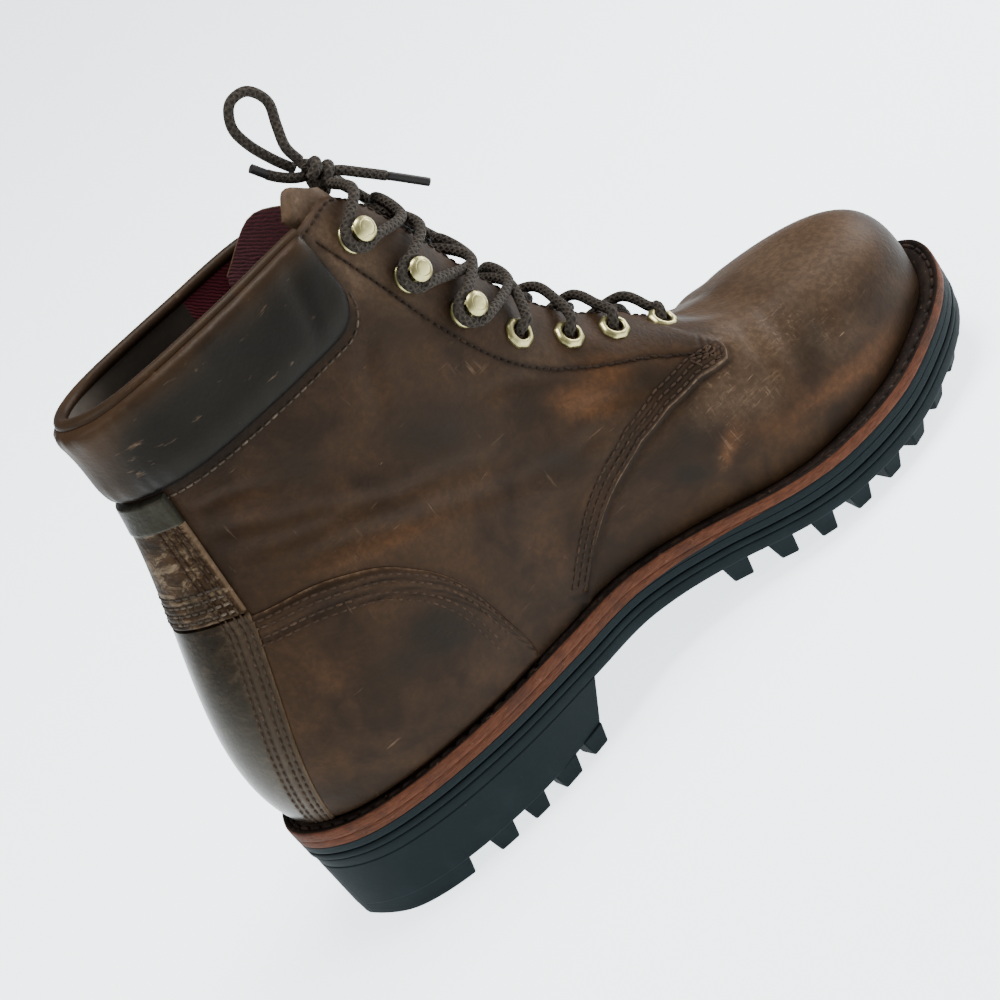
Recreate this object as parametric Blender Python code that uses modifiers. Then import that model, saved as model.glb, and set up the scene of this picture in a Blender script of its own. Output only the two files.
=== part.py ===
"""Work boot for the left foot: lugged sole, welt, hollow leather upper and its fittings.

Lengths are millimetres here and metres in the scene. In the tables x runs from the
heel to the toe, y from the heel's middle line to the outer (lateral) side, z up from
the floor. A place on the upper is (u, v): u is the section, counted from the toe's tip
along the inner (medial) side to the heel's back and home along the lateral side, and v
rises from 0 at the welt to 1 at the top line.
"""
import bmesh
import bpy
import numpy as np
from mathutils import Matrix, Vector

MM = 0.001
FRAME_ORIGIN = (147.5, -5.9, 0.0)

GAP = 0.3
OVERLAY_GAP = 0.7
VAMP_WALL = 2.0
QUARTER_WALL = 3.0

WELT_THICK = 4.0
MIDSOLE_THICK = 6.2
OUTSOLE_THICK = 8.0
OUTSOLE_BAND = 2.6
OUTSOLE_STEP = 0.9
OUTSOLE_STEP_FALL = 0.4
OUTSOLE_INSET = 0.2
MIDSOLE_INSET = 0.3
INSOLE_RISE = 2.0
INSOLE_CLEAR = 0.5
INSOLE_SEAT = 0.8
UPPER_SEAT = 0.8

HEEL_BREAST_X = 97.0
HEEL_BREAST_SLOPE = 8.0
HEEL_LUG_DEPTH = 7.0
HEEL_LUGS = ((80.8, 88.0), (64.8, 73.5), (49.0, 56.0), (32.8, 40.8))
HEEL_REAR_LUG_X = 21.0
HEEL_LUG_REACH = 14.0
FOREFOOT_LUG_X = 158.0
FOREFOOT_LUG_PITCH = 17.4
FOREFOOT_LUG_TIP = 6.8
FOREFOOT_LUG_REACH = 17.0
LUG_FLARE = 1.6
LUG_ROOT_INSET = 2.5
LUG_TIP_INSET = 6.0
HEEL_TAPER = 3.5
# Share of these insets that is left at the toe's tip and the heel's back
END_TAPER = 0.25
LUG_ROOT = 1.0
LUG_SPLITS = 3
HEEL_SPLITS = 24
HEEL_BARS = (38.0, 60.0)
FOREFOOT_BARS = (182.0, 206.0, 230.0, 254.0)
BAR_WIDTH = 8.5
BAR_CLEAR = 7.0

TONGUE_THICK = 2.6
TONGUE_SINK = 2.0
TONGUE_WING = 0.14
TONGUE_TOP_RISE = 19.0
TONGUE_SECTIONS = (1.4, 2.2, 3.0, 3.8, 4.6, 5.4, 6.2, 6.8)
# How far back inside the collar the wings reach at a section, in sections, on the medial and the lateral side
TONGUE_SPREAD = ((5.4, 0.0, 0.0), (6.2, 0.3, 0.45), (6.8, 0.9, 1.5))
# Share of the top rise at each point across, from the medial wing to the lateral one
TONGUE_TOP_LINE = (0.85, 0.95, 1.0, 1.0, 1.0, 0.97, 0.9, 0.7, 0.4)
# Places (u, v) of the tongue's front edge inside the vamp, from the side to the middle
TONGUE_NOSE = ((1.0, 0.84), (0.75, 0.85), (0.5, 0.87), (0.25, 0.88), (0.0, 0.88))

PAD_BOTTOM_Z = 171.5
PAD_CORNER = 12.0
PAD_BULGE = 4.2
PAD_RIM = 1.4
PAD_FRONT_U = 8.0
PAD_SECTION = 33.0
PAD_TOP_V = 0.985
PAD_ROWS = 5
BACKSTAY_THICK = 1.3
BACKSTAY_COLUMNS = 7
BACKSTAY_ROWS = 8
COUNTER_THICK = 1.1
COUNTER_COLUMNS = 10
COUNTER_ROWS = 7
SEAM_Z = 126.0
OVERLAY_FOOT_V = 0.015
OVERLAY_SEAM_V = 0.004
OVERLAY_SEAM_U = 0.06

EYELET_COUNT = 4
# Places (x, y, z) near the medial eyelets and then the hooks, up the throat
FASTENERS = ((198.5, -21, 86.3), (182.5, -23, 100.3), (168, -24, 112.2), (152, -25, 127), (141.5, -26, 147),
             (134.5, -26, 169), (129, -26, 191.5))
HOOK_FACING = (0.9, 0.25, 0.36)
EYELET_RADIUS = 5.5
EYELET_FLAT = 4.3
EYELET_BORE = 2.9
EYELET_HEIGHT = 1.6
HOOK_RADIUS = 4.3
HOOK_FLAT = 3.1
HOOK_UNDER = 3.9
HOOK_ROUND = 0.4
HOOK_NECK = 2.0
HOOK_HEIGHT = 8.0
HOOK_HEAD = 1.6
HOOK_BASE = 0.9
HOOK_BASE_RADIUS = 5.3
TURNED_STEPS = 8
LACE_RADIUS = 1.9
LACE_SIDES = 2
# Distances between a lace's points: where it crosses the throat, and in the bow
CROSSING_SPACING = 12.6
BOW_SPACING = 8.4
LACE_CLEAR = 1.2
LACE_TURN = (0.2, 0.1, 0.6)
LACE_EDGE_CLEAR = 2.2

# Height of the welt's top along the boot, and of the tread's lowest points
WELT_TOP = ((-10, 45.6), (50, 44.4), (100, 41.5), (140, 36.2), (180, 30), (210, 26.8), (240, 26.4),
            (270, 30.4), (305, 39))
TREAD = ((-10, 2.0), (2, 0), (100, 0), (150, 8), (160, 5.5), (175, 3), (190, 1), (200, 0), (230, 0), (245, 1.2),
         (262, 4.2), (282, 9), (306, 15))

# A row per section from the toe's tip to the heel's back: the sole's edge on either side,
# the welt's width, the top line (half is its distance from the middle, fall how much lower
# it lies on the lateral side), then the wall's curve: bulge and rise shape its foot, reach
# and drop its head.
SECTION_COLUMNS = ("medial_x", "medial_y", "lateral_x", "lateral_y", "welt", "top_x", "top_half", "top_z", "fall",
                   "bulge", "rise", "reach", "drop")
SECTIONS = (
    (305, -17, 305, -17, 8.5, 209, 0, 82, 0, 7, 52, 41, 21),
    (298, -36, 298, 4, 8.5, 208.5, 4, 82.5, 2, 7, 49, 38, 20),
    (283, -49.5, 278, 26, 8.5, 207, 7.5, 84.5, 4, 7, 43, 31, 18),
    (256, -59, 249, 42, 8.5, 202, 10, 90, 6, 6.5, 33, 25, 14),
    (222, -63.5, 213, 51, 8, 190, 11, 101.5, 6, 6, 28, 22, 12),
    (190, -58, 181, 51, 7, 174, 11.5, 117, 5, 5, 28, 22, 15),
    (160, -43, 150, 46.5, 6, 158, 12.5, 146, 5, 5, 34, 21, 28),
    (130, -36, 120, 43, 5.5, 136.5, 14.5, 200, 5, 4, 42, 18, 45),
    (98, -41.5, 92, 42.5, 5.5, 114, 23, 205.5, 5, 4, 42, 7, 50),
    (60, -44.5, 58, 43.5, 5.5, 80, 26, 206, 5, 6, 36, 3, 55),
    (25, -38.5, 25, 38, 6, 47, 22.5, 205.5, 3, 9, 38, 0, 58),
    (1, -24.5, 1, 24.5, 7, 31, 14, 205, 1, 14, 42, -9, 58),
    (-10, 0, -10, 0, 8, 24, 0, 205, 0, 19, 44, -11, 58),
)
THROAT_FOOT_X = 209.0
THROAT_HEAD_X = 136.0
THROAT_FOOT_Y = -5.0

UPPER_STEPS = 3
SOLE_STEPS = 2
VAMP_ROWS = 5
QUARTER_ROWS = 5
SEAM_STEP_V = 0.012

# Side-view places (x, z) of the quarter's edge over the vamp, from the throat to the welt
VAMP_SEAM = ((208, 82), (206.5, 77), (203, 73), (190, 76), (175, 76), (160, 72.5), (145, 65.5), (131, 55), (118, 43))
SEAM_DEPTH = -45.0
# Where the grid's split rests at the toe's tip and at the heel, which have no seam
SPLIT_TOE_V = 0.55
SPLIT_HEEL = ((9.5, 0.4), (12.0, 0.5))

# Half width of the heel's strip in sections, up the back, and the counter's top line
BACKSTAY_WIDTH = ((0.0, 0.75), (0.25, 1.05), (0.5, 1.38), (0.8, 1.1), (1.0, 1.05))
COUNTER_TOP_Z = ((8.3, 52.0), (8.5, 80.0), (8.8, 97.0), (9.3, 111.0), (10.0, 120.0), (10.7, 122.5))

# Free lace routes from the knot: x, y, z
LOOP_SHORT = ((137, 2.3, 212.9), (133.5, 4.2, 220), (130, 4.5, 229), (129, 4, 237), (133, 3, 243.5), (140, 2.5, 243),
              (143.5, 2, 236), (140.5, 1, 228), (137.8, -1, 221.5), (138.8, -1.2, 215))
LOOP_LONG = ((144.8, 6.3, 203.7), (150, 11, 195), (156, 13, 182), (162, 14, 168), (167.5, 15, 153),
             (170.5, 18.5, 148.5), (169, 22.5, 153), (163, 22, 168), (157.5, 21, 182), (152, 18.5, 196),
             (147, 14.5, 206), (141.9, 8, 211))
END_SHORT = ((139.5, -0.3, 208.6), (134, -0.5, 211.6), (128.5, -0.5, 217), (124, -0.5, 224))
END_LONG = ((147.1, -2.6, 204), (152, -4, 199), (160, -5, 190.5), (169, -6, 180.5))
KNOT_PLACE = (141.5, 0, 207)
KNOT_SIZE = (4.8, 6.5, 8)
KNOT_SIDE = (-0.6, 8.3, -3.0)

# Colour, roughness and metallic share of each material
LEATHER = ((0.16, 0.075, 0.038), 0.5, 0.0)
DARK_LEATHER = ((0.045, 0.032, 0.026), 0.45, 0.0)
RUBBER = ((0.022, 0.027, 0.03), 0.6, 0.0)
MIDSOLE_BROWN = ((0.22, 0.075, 0.04), 0.75, 0.0)
WELT_BROWN = ((0.07, 0.038, 0.024), 0.7, 0.0)
BRASS = ((0.55, 0.44, 0.2), 0.3, 1.0)
LACE_BROWN = ((0.09, 0.062, 0.042), 0.85, 0.0)
INSOLE_TAN = ((0.3, 0.2, 0.12), 0.8, 0.0)

COLUMN = {name: np.array([row[i] for row in SECTIONS], float) for i, name in enumerate(SECTION_COLUMNS)}
SECTION_COUNT = 2 * len(SECTIONS) - 2
HEEL_U = SECTION_COUNT / 2


def around(medial, lateral):
    """Values of the medial sections followed by the lateral ones, heel to toe."""
    return np.concatenate((medial, lateral[-2:0:-1]))


def blend(values, u):
    """Value at section u of the closed Catmull-Rom curve through one value or point per section."""
    u = np.asarray(u, float)
    first = np.floor(u).astype(int)
    t = u - first
    if values.ndim > 1:
        t = t[..., None]
    before, start, end, after = (values[(first + k) % len(values)] for k in (-1, 0, 1, 2))
    square = 2 * before - 5 * start + 4 * end - after
    cube = 3 * (start - end) + after - before
    return 0.5 * (2 * start + (end - before) * t + square * t ** 2 + cube * t ** 3)


def profile(table, x):
    """Height at x of the smooth curve through the table's rows, level at its turns."""
    knots, heights = np.array(table, float).T
    rates = np.diff(heights) / np.diff(knots)
    before, after = rates[:-1], rates[1:]
    turns = before * after <= 0
    inner = np.where(turns, 0, 2 * before * after / np.where(turns, 1, before + after))
    slopes = np.concatenate((rates[:1], inner, rates[-1:]))
    i = np.clip(np.searchsorted(knots, x) - 1, 0, len(knots) - 2)
    width = knots[i + 1] - knots[i]
    t = np.clip((x - knots[i]) / width, 0, 1)
    rise = t * t * (3 - 2 * t)
    bend = width * (slopes[i] * (t - 2 * t ** 2 + t ** 3) + slopes[i + 1] * (t ** 3 - t ** 2))
    return heights[i] + (heights[i + 1] - heights[i]) * rise + bend


EDGE = np.stack((around(COLUMN["medial_x"], COLUMN["lateral_x"]), around(COLUMN["medial_y"], COLUMN["lateral_y"])), 1)
SIDE = around(-np.ones(len(SECTIONS)), np.ones(len(SECTIONS)))
SHARED = {name: around(COLUMN[name], COLUMN[name]) for name in SECTION_COLUMNS[4:]}
MIDDLE = np.interp(SHARED["top_x"], (THROAT_HEAD_X, THROAT_FOOT_X), (0, THROAT_FOOT_Y))
TOP_Z = SHARED["top_z"] - np.where(SIDE > 0, SHARED["fall"], 0)
TOP = np.stack((SHARED["top_x"], MIDDLE + SIDE * SHARED["top_half"], TOP_Z), 1)


def edge_normal(u):
    """Outward horizontal normal of the sole's edge at section u."""
    step = 0.02
    run = blend(EDGE, u + step) - blend(EDGE, u - step)
    normal = np.stack((-run[..., 1], run[..., 0]), -1)
    return normal / np.linalg.norm(normal, axis=-1, keepdims=True)


def sole_ring(u, inset, height):
    """Points of the sole's edge moved in by inset, at a height over the welt's top."""
    flat = blend(EDGE, u) - np.asarray(inset)[..., None] * edge_normal(u)
    return np.concatenate((flat, (profile(WELT_TOP, flat[..., 0]) + height)[..., None]), -1)


def last(u, v):
    """Point of the upper's inside: a cubic curve up each section, from the welt to the top line."""
    u, v = np.broadcast_arrays(np.asarray(u, float), np.asarray(v, float))
    shape = {name: blend(values, u)[..., None] for name, values in SHARED.items()}
    out = np.concatenate((edge_normal(u), np.zeros(u.shape + (1,))), -1)
    up = np.array((0.0, 0.0, 1.0))
    foot = sole_ring(u, shape["welt"][..., 0] + VAMP_WALL, UPPER_SEAT)
    head = blend(TOP, u)
    low = foot + shape["bulge"] * out + shape["rise"] * up
    high = head + shape["reach"] * out - shape["drop"] * up
    v = v[..., None]
    return (1 - v) ** 3 * foot + 3 * v * (1 - v) ** 2 * low + 3 * v ** 2 * (1 - v) * high + v ** 3 * head


def last_normal(u, v):
    """Outward normal of the upper's inside."""
    step_u, step_v = 0.03, 0.004
    along = last(u + step_u, v) - last(u - step_u, v)
    rise = last(u, np.minimum(v + step_v, 1.0)) - last(u, np.maximum(v - step_v, 0.0))
    normal = np.cross(rise, along)
    return normal / np.linalg.norm(normal, axis=-1, keepdims=True)


def place_near(x, y, z):
    """Section and height (u, v) of the medial place nearest to a point."""
    u, v = HEEL_U / 2, 0.5
    width_u, width_v = HEEL_U / 2, 0.5
    for _ in range(6):
        tries_u = np.linspace(u - width_u, u + width_u, 41)[:, None]
        tries_v = np.clip(np.linspace(v - width_v, v + width_v, 41), 0, 1)
        miss = np.linalg.norm(last(tries_u, tries_v) - np.array((x, y, z)), axis=-1)
        row, column = np.unravel_index(miss.argmin(), miss.shape)
        u, v = float(tries_u[row, 0]), float(tries_v[column])
        width_u, width_v = width_u / 6, width_v / 6
    return u, v


SEAM_PLACES = np.array([place_near(x, SEAM_DEPTH, z) for x, z in VAMP_SEAM])
SPLIT_LINE = np.concatenate((((0.0, SPLIT_TOE_V),), SEAM_PLACES, SPLIT_HEEL))


def near_side(u):
    """Section u counted on the medial side, whichever side it is on."""
    return HEEL_U - np.abs(np.asarray(u) - HEEL_U)


def seam_v(u):
    """Height of the vamp seam, or of the grid's split where there is no seam."""
    return np.interp(near_side(u), *SPLIT_LINE.T)


def wall(u, v):
    """Thickness of the leather: the quarter lies over the vamp behind and above the seam."""
    near = near_side(u)
    behind = near > SEAM_PLACES[-1, 0]
    over = (near > SEAM_PLACES[0, 0]) & (v > seam_v(u) + 0.5 * SEAM_STEP_V)
    return np.where(behind | over, QUARTER_WALL, VAMP_WALL)


def outside(u, v, lift):
    """Point at a distance lift over the upper's outer face."""
    u, v = np.broadcast_arrays(np.asarray(u, float), np.asarray(v, float))
    return last(u, v) + (wall(u, v) + lift)[..., None] * last_normal(u, v)


def v_at_height(u, z):
    """Height v at which section u reaches z on the upper's inside."""
    v = np.linspace(0, 1, 201)
    return np.array([np.interp(level, last(section, v)[:, 2], v)
                     for section, level in zip(*np.broadcast_arrays(np.atleast_1d(u), z))])


def throat_u_beside(place):
    """Medial section whose top line is nearest to a place."""
    u = np.linspace(0.5, 7.5, 281)
    return float(u[np.linalg.norm(blend(TOP, u) - np.array(place), axis=1).argmin()])


def metres(points):
    """Table millimetres as scene metres round the boot's own origin."""
    return (np.asarray(points, float) - np.array(FRAME_ORIGIN)) * MM


def make_material(name, look):
    """A plain Principled material."""
    colour, roughness, metallic = look
    material = bpy.data.materials.new(name)
    material.use_nodes = True
    shader = material.node_tree.nodes["Principled BSDF"]
    shader.inputs["Base Color"].default_value = (*colour, 1.0)
    shader.inputs["Roughness"].default_value = roughness
    shader.inputs["Metallic"].default_value = metallic
    return material


def finish(obj, collection, look):
    """Link an object to its collection and give it a material of its own."""
    collection.objects.link(obj)
    obj.data.materials.clear()
    obj.data.materials.append(make_material(obj.name + "_material", look))
    return obj


def mesh_object(name, vertices, faces):
    """New mesh object from millimetre points and faces that point out."""
    mesh = bpy.data.meshes.new(name)
    mesh.from_pydata(metres(vertices).tolist(), [], faces)
    mesh.update()
    return bpy.data.objects.new(name, mesh)


def grid_faces(rows, columns, closed=False):
    """Quads of a grid of points stored row by row."""
    last_row = rows if closed else rows - 1
    return [(i * columns + j, i * columns + j + 1, (i + 1) % rows * columns + j + 1, (i + 1) % rows * columns + j)
            for i in range(last_row) for j in range(columns - 1)]


def solidify(obj, thickness, weights=None):
    """Give a sheet its thickness outward, scaled at each vertex by a weight where given."""
    modifier = obj.modifiers.new("wall", "SOLIDIFY")
    modifier.thickness = thickness * MM
    modifier.offset = 1.0
    modifier.use_quality_normals = True
    if weights is not None:
        group = obj.vertex_groups.new(name="wall")
        for index, weight in enumerate(np.ravel(weights)):
            group.add((index,), float(weight), "REPLACE")
        modifier.vertex_group = group.name
    return obj


def join_with(obj, operands):
    """Join closed solids to an object."""
    for operand in operands:
        modifier = obj.modifiers.new("join_" + operand.name, "BOOLEAN")
        modifier.operation = "UNION"
        modifier.object = operand
    return obj


def keep_as_tool(obj, tools):
    """File an object that only shapes another one."""
    tools.objects.link(obj)
    obj.hide_render = True
    obj.display_type = "WIRE"
    return obj


def loft(name, rings):
    """Closed solid through rings of equal length that run toe, medial side, heel, lateral side."""
    count = len(rings[0])
    faces = [(r * count + k, r * count + (k + 1) % count, (r + 1) * count + (k + 1) % count, (r + 1) * count + k)
             for r in range(len(rings) - 1) for k in range(count)]
    half = count // 2
    base = (len(rings) - 1) * count
    for k in range(half):
        near, far = (k, k + 1), ((count - k) % count, count - k - 1)
        for triangle in ((near[0], far[0], near[1]), (far[0], far[1], near[1])):
            if len(set(triangle)) == 3:
                faces.append(triangle)
                faces.append(tuple(base + index for index in reversed(triangle)))
    return mesh_object(name, np.concatenate(rings), faces)


def prism(name, tip, root):
    """Closed solid between two outlines of equal length, tip below root."""
    count = len(tip)
    sides = [(k, (k + 1) % count, count + (k + 1) % count, count + k) for k in range(count)]
    faces = [tuple(range(count - 1, -1, -1)), tuple(range(count, 2 * count))] + sides
    obj = mesh_object(name, np.concatenate((tip, root)), faces)
    shape = bmesh.new()
    shape.from_mesh(obj.data)
    bmesh.ops.triangulate(shape, faces=shape.faces)
    bmesh.ops.recalc_face_normals(shape, faces=shape.faces)
    shape.to_mesh(obj.data)
    shape.free()
    return obj


def all_round(steps):
    """Section numbers once round the boot."""
    return np.arange(SECTION_COUNT * steps) / steps


def outsole_under(x):
    """Height of the sole plate's underside."""
    return profile(WELT_TOP, x) - WELT_THICK - MIDSOLE_THICK - OUTSOLE_THICK - 2 * GAP


def edge_u_at(x, lateral):
    """Section at which the sole's edge reaches x on one side."""
    u = np.linspace(0, HEEL_U, 721)
    if lateral:
        u = SECTION_COUNT - u
    return float(np.interp(-x, -blend(EDGE, u)[:, 0], u))


def flat_prism(name, outline_tip, outline_root, root_height):
    """Tread block: its tip follows the tread's profile, its root enters the sole."""
    tip = np.column_stack((outline_tip, profile(TREAD, outline_tip[:, 0])))
    root = np.column_stack((outline_root, root_height(outline_root[:, 0])))
    return prism(name, tip, root)


def tapered_edge(u, inset):
    """The sole's edge moved in by inset on the sides and by less at the toe and the heel."""
    normal = edge_normal(u)
    share = END_TAPER + (1 - END_TAPER) * np.abs(normal[:, 1:])
    return blend(EDGE, u) - inset * share * normal


def edge_lug(name, first_u, last_u, reach, root_inset, root_height):
    """Tread block on the sole's edge between two sections, wider at its root."""
    run = np.linspace(first_u, last_u, max(2, 1 + round(abs(last_u - first_u) * LUG_SPLITS)))
    length = np.linalg.norm(np.diff(blend(EDGE, run), axis=0), axis=1).sum()
    flare = LUG_FLARE * (last_u - first_u) / length
    wide = np.linspace(first_u - flare, last_u + flare, len(run))

    def outline(sections, outer):
        inner = blend(EDGE, sections) - reach * edge_normal(sections)
        return np.concatenate((tapered_edge(sections, outer), inner[::-1]))
    return flat_prism(name, outline(run, LUG_TIP_INSET), outline(wide, root_inset), root_height)


def bar_lug(name, x, reach, root_height):
    """Tread block across the middle of the sole."""
    medial = blend(EDGE, edge_u_at(x, False))[1] + reach + BAR_CLEAR
    lateral = blend(EDGE, edge_u_at(x, True))[1] - reach - BAR_CLEAR

    def outline(half, trim):
        return np.array(((x - half, medial + trim), (x + half, medial + trim), (x + half, lateral - trim),
                         (x - half, lateral - trim)))
    return flat_prism(name, outline(BAR_WIDTH / 2, 0), outline(BAR_WIDTH / 2 + LUG_FLARE, -LUG_FLARE), root_height)


def heel_root(x):
    """Root height of the heel's tread blocks."""
    return np.full_like(np.asarray(x, float), HEEL_LUG_DEPTH + LUG_ROOT)


def sole_root(x):
    """Root height of the forefoot's tread blocks."""
    return outsole_under(x) + LUG_ROOT


def heel_block(tools):
    """The heel under the sole plate, down to the roots of its tread blocks."""
    first = edge_u_at(HEEL_BREAST_X, False)
    end = edge_u_at(HEEL_BREAST_X, True)
    run = np.linspace(first, end, HEEL_SPLITS + 1)
    rim = blend(EDGE, run) - OUTSOLE_STEP * edge_normal(run)
    base = tapered_edge(run, HEEL_TAPER + OUTSOLE_STEP)
    base[:, 0] -= HEEL_BREAST_SLOPE * np.clip(2 * rim[:, 0] / HEEL_BREAST_X - 1, 0, 1)
    foot = np.column_stack((base, np.full(len(run), HEEL_LUG_DEPTH)))
    head = np.column_stack((rim, outsole_under(rim[:, 0]) + LUG_ROOT))
    return keep_as_tool(prism("heel_block", foot, head), tools)


def heel_lugs(tools):
    """Tread blocks of the heel: both edges, the rear and the middle bars."""
    lugs = []
    for i, (low_x, high_x) in enumerate(HEEL_LUGS):
        for side, lateral in (("medial", False), ("lateral", True)):
            ends = sorted((edge_u_at(low_x, lateral), edge_u_at(high_x, lateral)))
            lugs.append(edge_lug(f"heel_lug_{side}_{i}", *ends, HEEL_LUG_REACH, HEEL_TAPER + OUTSOLE_STEP, heel_root))
    rear = (edge_u_at(HEEL_REAR_LUG_X, False), edge_u_at(HEEL_REAR_LUG_X, True))
    lugs.append(edge_lug("heel_lug_rear", *rear, HEEL_LUG_REACH, HEEL_TAPER + OUTSOLE_STEP, heel_root))
    lugs += [bar_lug(f"heel_bar_{i}", x, HEEL_LUG_REACH, heel_root) for i, x in enumerate(HEEL_BARS)]
    return [keep_as_tool(lug, tools) for lug in lugs]


def forefoot_lugs(tools):
    """Tread blocks of the forefoot, evenly spaced along the edge from side to side round the toe."""
    start = edge_u_at(FOREFOOT_LUG_X, False)
    end = edge_u_at(FOREFOOT_LUG_X, True) - SECTION_COUNT
    run = np.linspace(start, end, 801)
    lengths = np.concatenate(((0,), np.cumsum(np.linalg.norm(np.diff(blend(EDGE, run), axis=0), axis=1))))
    count = round(lengths[-1] / FOREFOOT_LUG_PITCH)
    lugs = []
    for i, middle in enumerate(np.linspace(FOREFOOT_LUG_TIP / 2, lengths[-1] - FOREFOOT_LUG_TIP / 2, count + 1)):
        ends = np.interp((middle - FOREFOOT_LUG_TIP / 2, middle + FOREFOOT_LUG_TIP / 2), lengths, run)
        lugs.append(edge_lug(f"forefoot_lug_{i}", *ends, FOREFOOT_LUG_REACH, LUG_ROOT_INSET, sole_root))
    lugs += [bar_lug(f"forefoot_bar_{i}", x, FOREFOOT_LUG_REACH, sole_root) for i, x in enumerate(FOREFOOT_BARS)]
    return [keep_as_tool(lug, tools) for lug in lugs]


def make_outsole(parts, tools):
    """Rubber sole: a plate with a stepped side, the heel and the tread."""
    u = all_round(SOLE_STEPS)
    top = -WELT_THICK - MIDSOLE_THICK - 2 * GAP
    layers = ((OUTSOLE_INSET, top), (OUTSOLE_INSET, top - OUTSOLE_BAND),
              (OUTSOLE_STEP, top - OUTSOLE_BAND - OUTSOLE_STEP_FALL), (OUTSOLE_STEP, top - OUTSOLE_THICK))
    plate = loft("outsole", [sole_ring(u, np.full_like(u, inset), height) for inset, height in layers])
    join_with(plate, [heel_block(tools)] + heel_lugs(tools) + forefoot_lugs(tools))
    return finish(plate, parts, RUBBER)


def make_midsole(parts):
    """Midsole plate between the outsole and the welt."""
    u = all_round(SOLE_STEPS)
    heights = (-WELT_THICK - GAP, -WELT_THICK - GAP - MIDSOLE_THICK)
    plate = loft("midsole", [sole_ring(u, np.full_like(u, MIDSOLE_INSET), height) for height in heights])
    return finish(plate, parts, MIDSOLE_BROWN)


def make_welt(parts):
    """Welt: a strip all round on which the upper stands."""
    u = all_round(SOLE_STEPS)
    inner = blend(SHARED["welt"], u) + VAMP_WALL
    rim = np.full_like(u, 0.0)
    corners = ((rim, 0.0), (rim, -WELT_THICK), (inner, -WELT_THICK), (inner, 0.0))
    rings = np.stack([sole_ring(u, inset, height) for inset, height in corners], 1)
    count = len(u)
    faces = [(4 * k + j, 4 * ((k + 1) % count) + j, 4 * ((k + 1) % count) + (j + 1) % 4, 4 * k + (j + 1) % 4)
             for k in range(count) for j in range(4)]
    return finish(mesh_object("welt", rings.reshape(-1, 3), faces), parts, WELT_BROWN)


def make_insole(parts):
    """Insole on the midsole, inside the welt and the upper."""
    u = all_round(SOLE_STEPS)
    inset = blend(SHARED["welt"], u) + VAMP_WALL + INSOLE_CLEAR
    plate = loft("insole", [sole_ring(u, inset, height) for height in (INSOLE_RISE, INSOLE_SEAT - WELT_THICK)])
    return finish(plate, parts, INSOLE_TAN)


def make_upper(parts):
    """The hollow leather upper, one wall with a step where the quarter lies over the vamp."""
    u = all_round(UPPER_STEPS)
    split = seam_v(u)[:, None]
    low = split * np.linspace(0, 1, VAMP_ROWS + 1)
    high = split + SEAM_STEP_V + (1 - split - SEAM_STEP_V) * np.linspace(0, 1, QUARTER_ROWS + 1)
    v = np.concatenate((low, high), 1)
    u = np.broadcast_to(u[:, None], v.shape)
    points = last(u, v)
    faces = grid_faces(*v.shape, closed=True)
    upper = mesh_object("upper", points.reshape(-1, 3), faces)
    solidify(upper, QUARTER_WALL, wall(u, v) / QUARTER_WALL)
    upper.data.shade_smooth()
    return finish(upper, parts, LEATHER)


def overlay(name, parts, u, v, thickness, look, weights=None):
    """Leather laid over the upper on the grid of places (u, v)."""
    points = outside(u, v, OVERLAY_GAP)
    piece = mesh_object(name, points.reshape(-1, 3), grid_faces(*u.shape))
    solidify(piece, thickness, weights)
    return finish(piece, parts, look)


def make_backstay(parts):
    """Strip up the heel's back: a lower counter part and an upper part to the collar."""
    knots, halves = np.array(BACKSTAY_WIDTH, float).T
    seam, top = v_at_height(HEEL_U, np.array((SEAM_Z, PAD_BOTTOM_Z - PAD_RIM)))
    for name, first, end in (("backstay_lower", OVERLAY_FOOT_V, seam - OVERLAY_SEAM_V),
                             ("backstay_upper", seam + OVERLAY_SEAM_V, top)):
        v = np.linspace(first, end, BACKSTAY_ROWS)[:, None] + np.zeros(BACKSTAY_COLUMNS)
        u = HEEL_U + np.interp(v, knots, halves) * np.linspace(1, -1, BACKSTAY_COLUMNS)
        overlay(name, parts, u, v, BACKSTAY_THICK, DARK_LEATHER)


def make_counter(parts, name, lateral):
    """Counter piece on one side of the heel, from the strip forward to the welt."""
    knots, heights = np.array(COUNTER_TOP_Z, float).T
    widths_v, widths = np.array(BACKSTAY_WIDTH, float).T
    run = np.linspace(0, 1, COUNTER_COLUMNS)[:, None]
    rise = np.linspace(0, 1, COUNTER_ROWS)
    near = knots[0] + (knots[-1] - knots[0]) * run
    top = v_at_height(near[:, 0], np.interp(near[:, 0], knots, heights))[:, None]
    v = OVERLAY_FOOT_V + (top - OVERLAY_FOOT_V) * rise
    limit = HEEL_U - np.interp(v, widths_v, widths) - OVERLAY_SEAM_U
    near = knots[0] + (limit - knots[0]) * run
    u = SECTION_COUNT - near if lateral else near
    if not lateral:
        u, v = u[::-1], v[::-1]
    overlay(name, parts, u[::-1], v[::-1], COUNTER_THICK, LEATHER)


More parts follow.
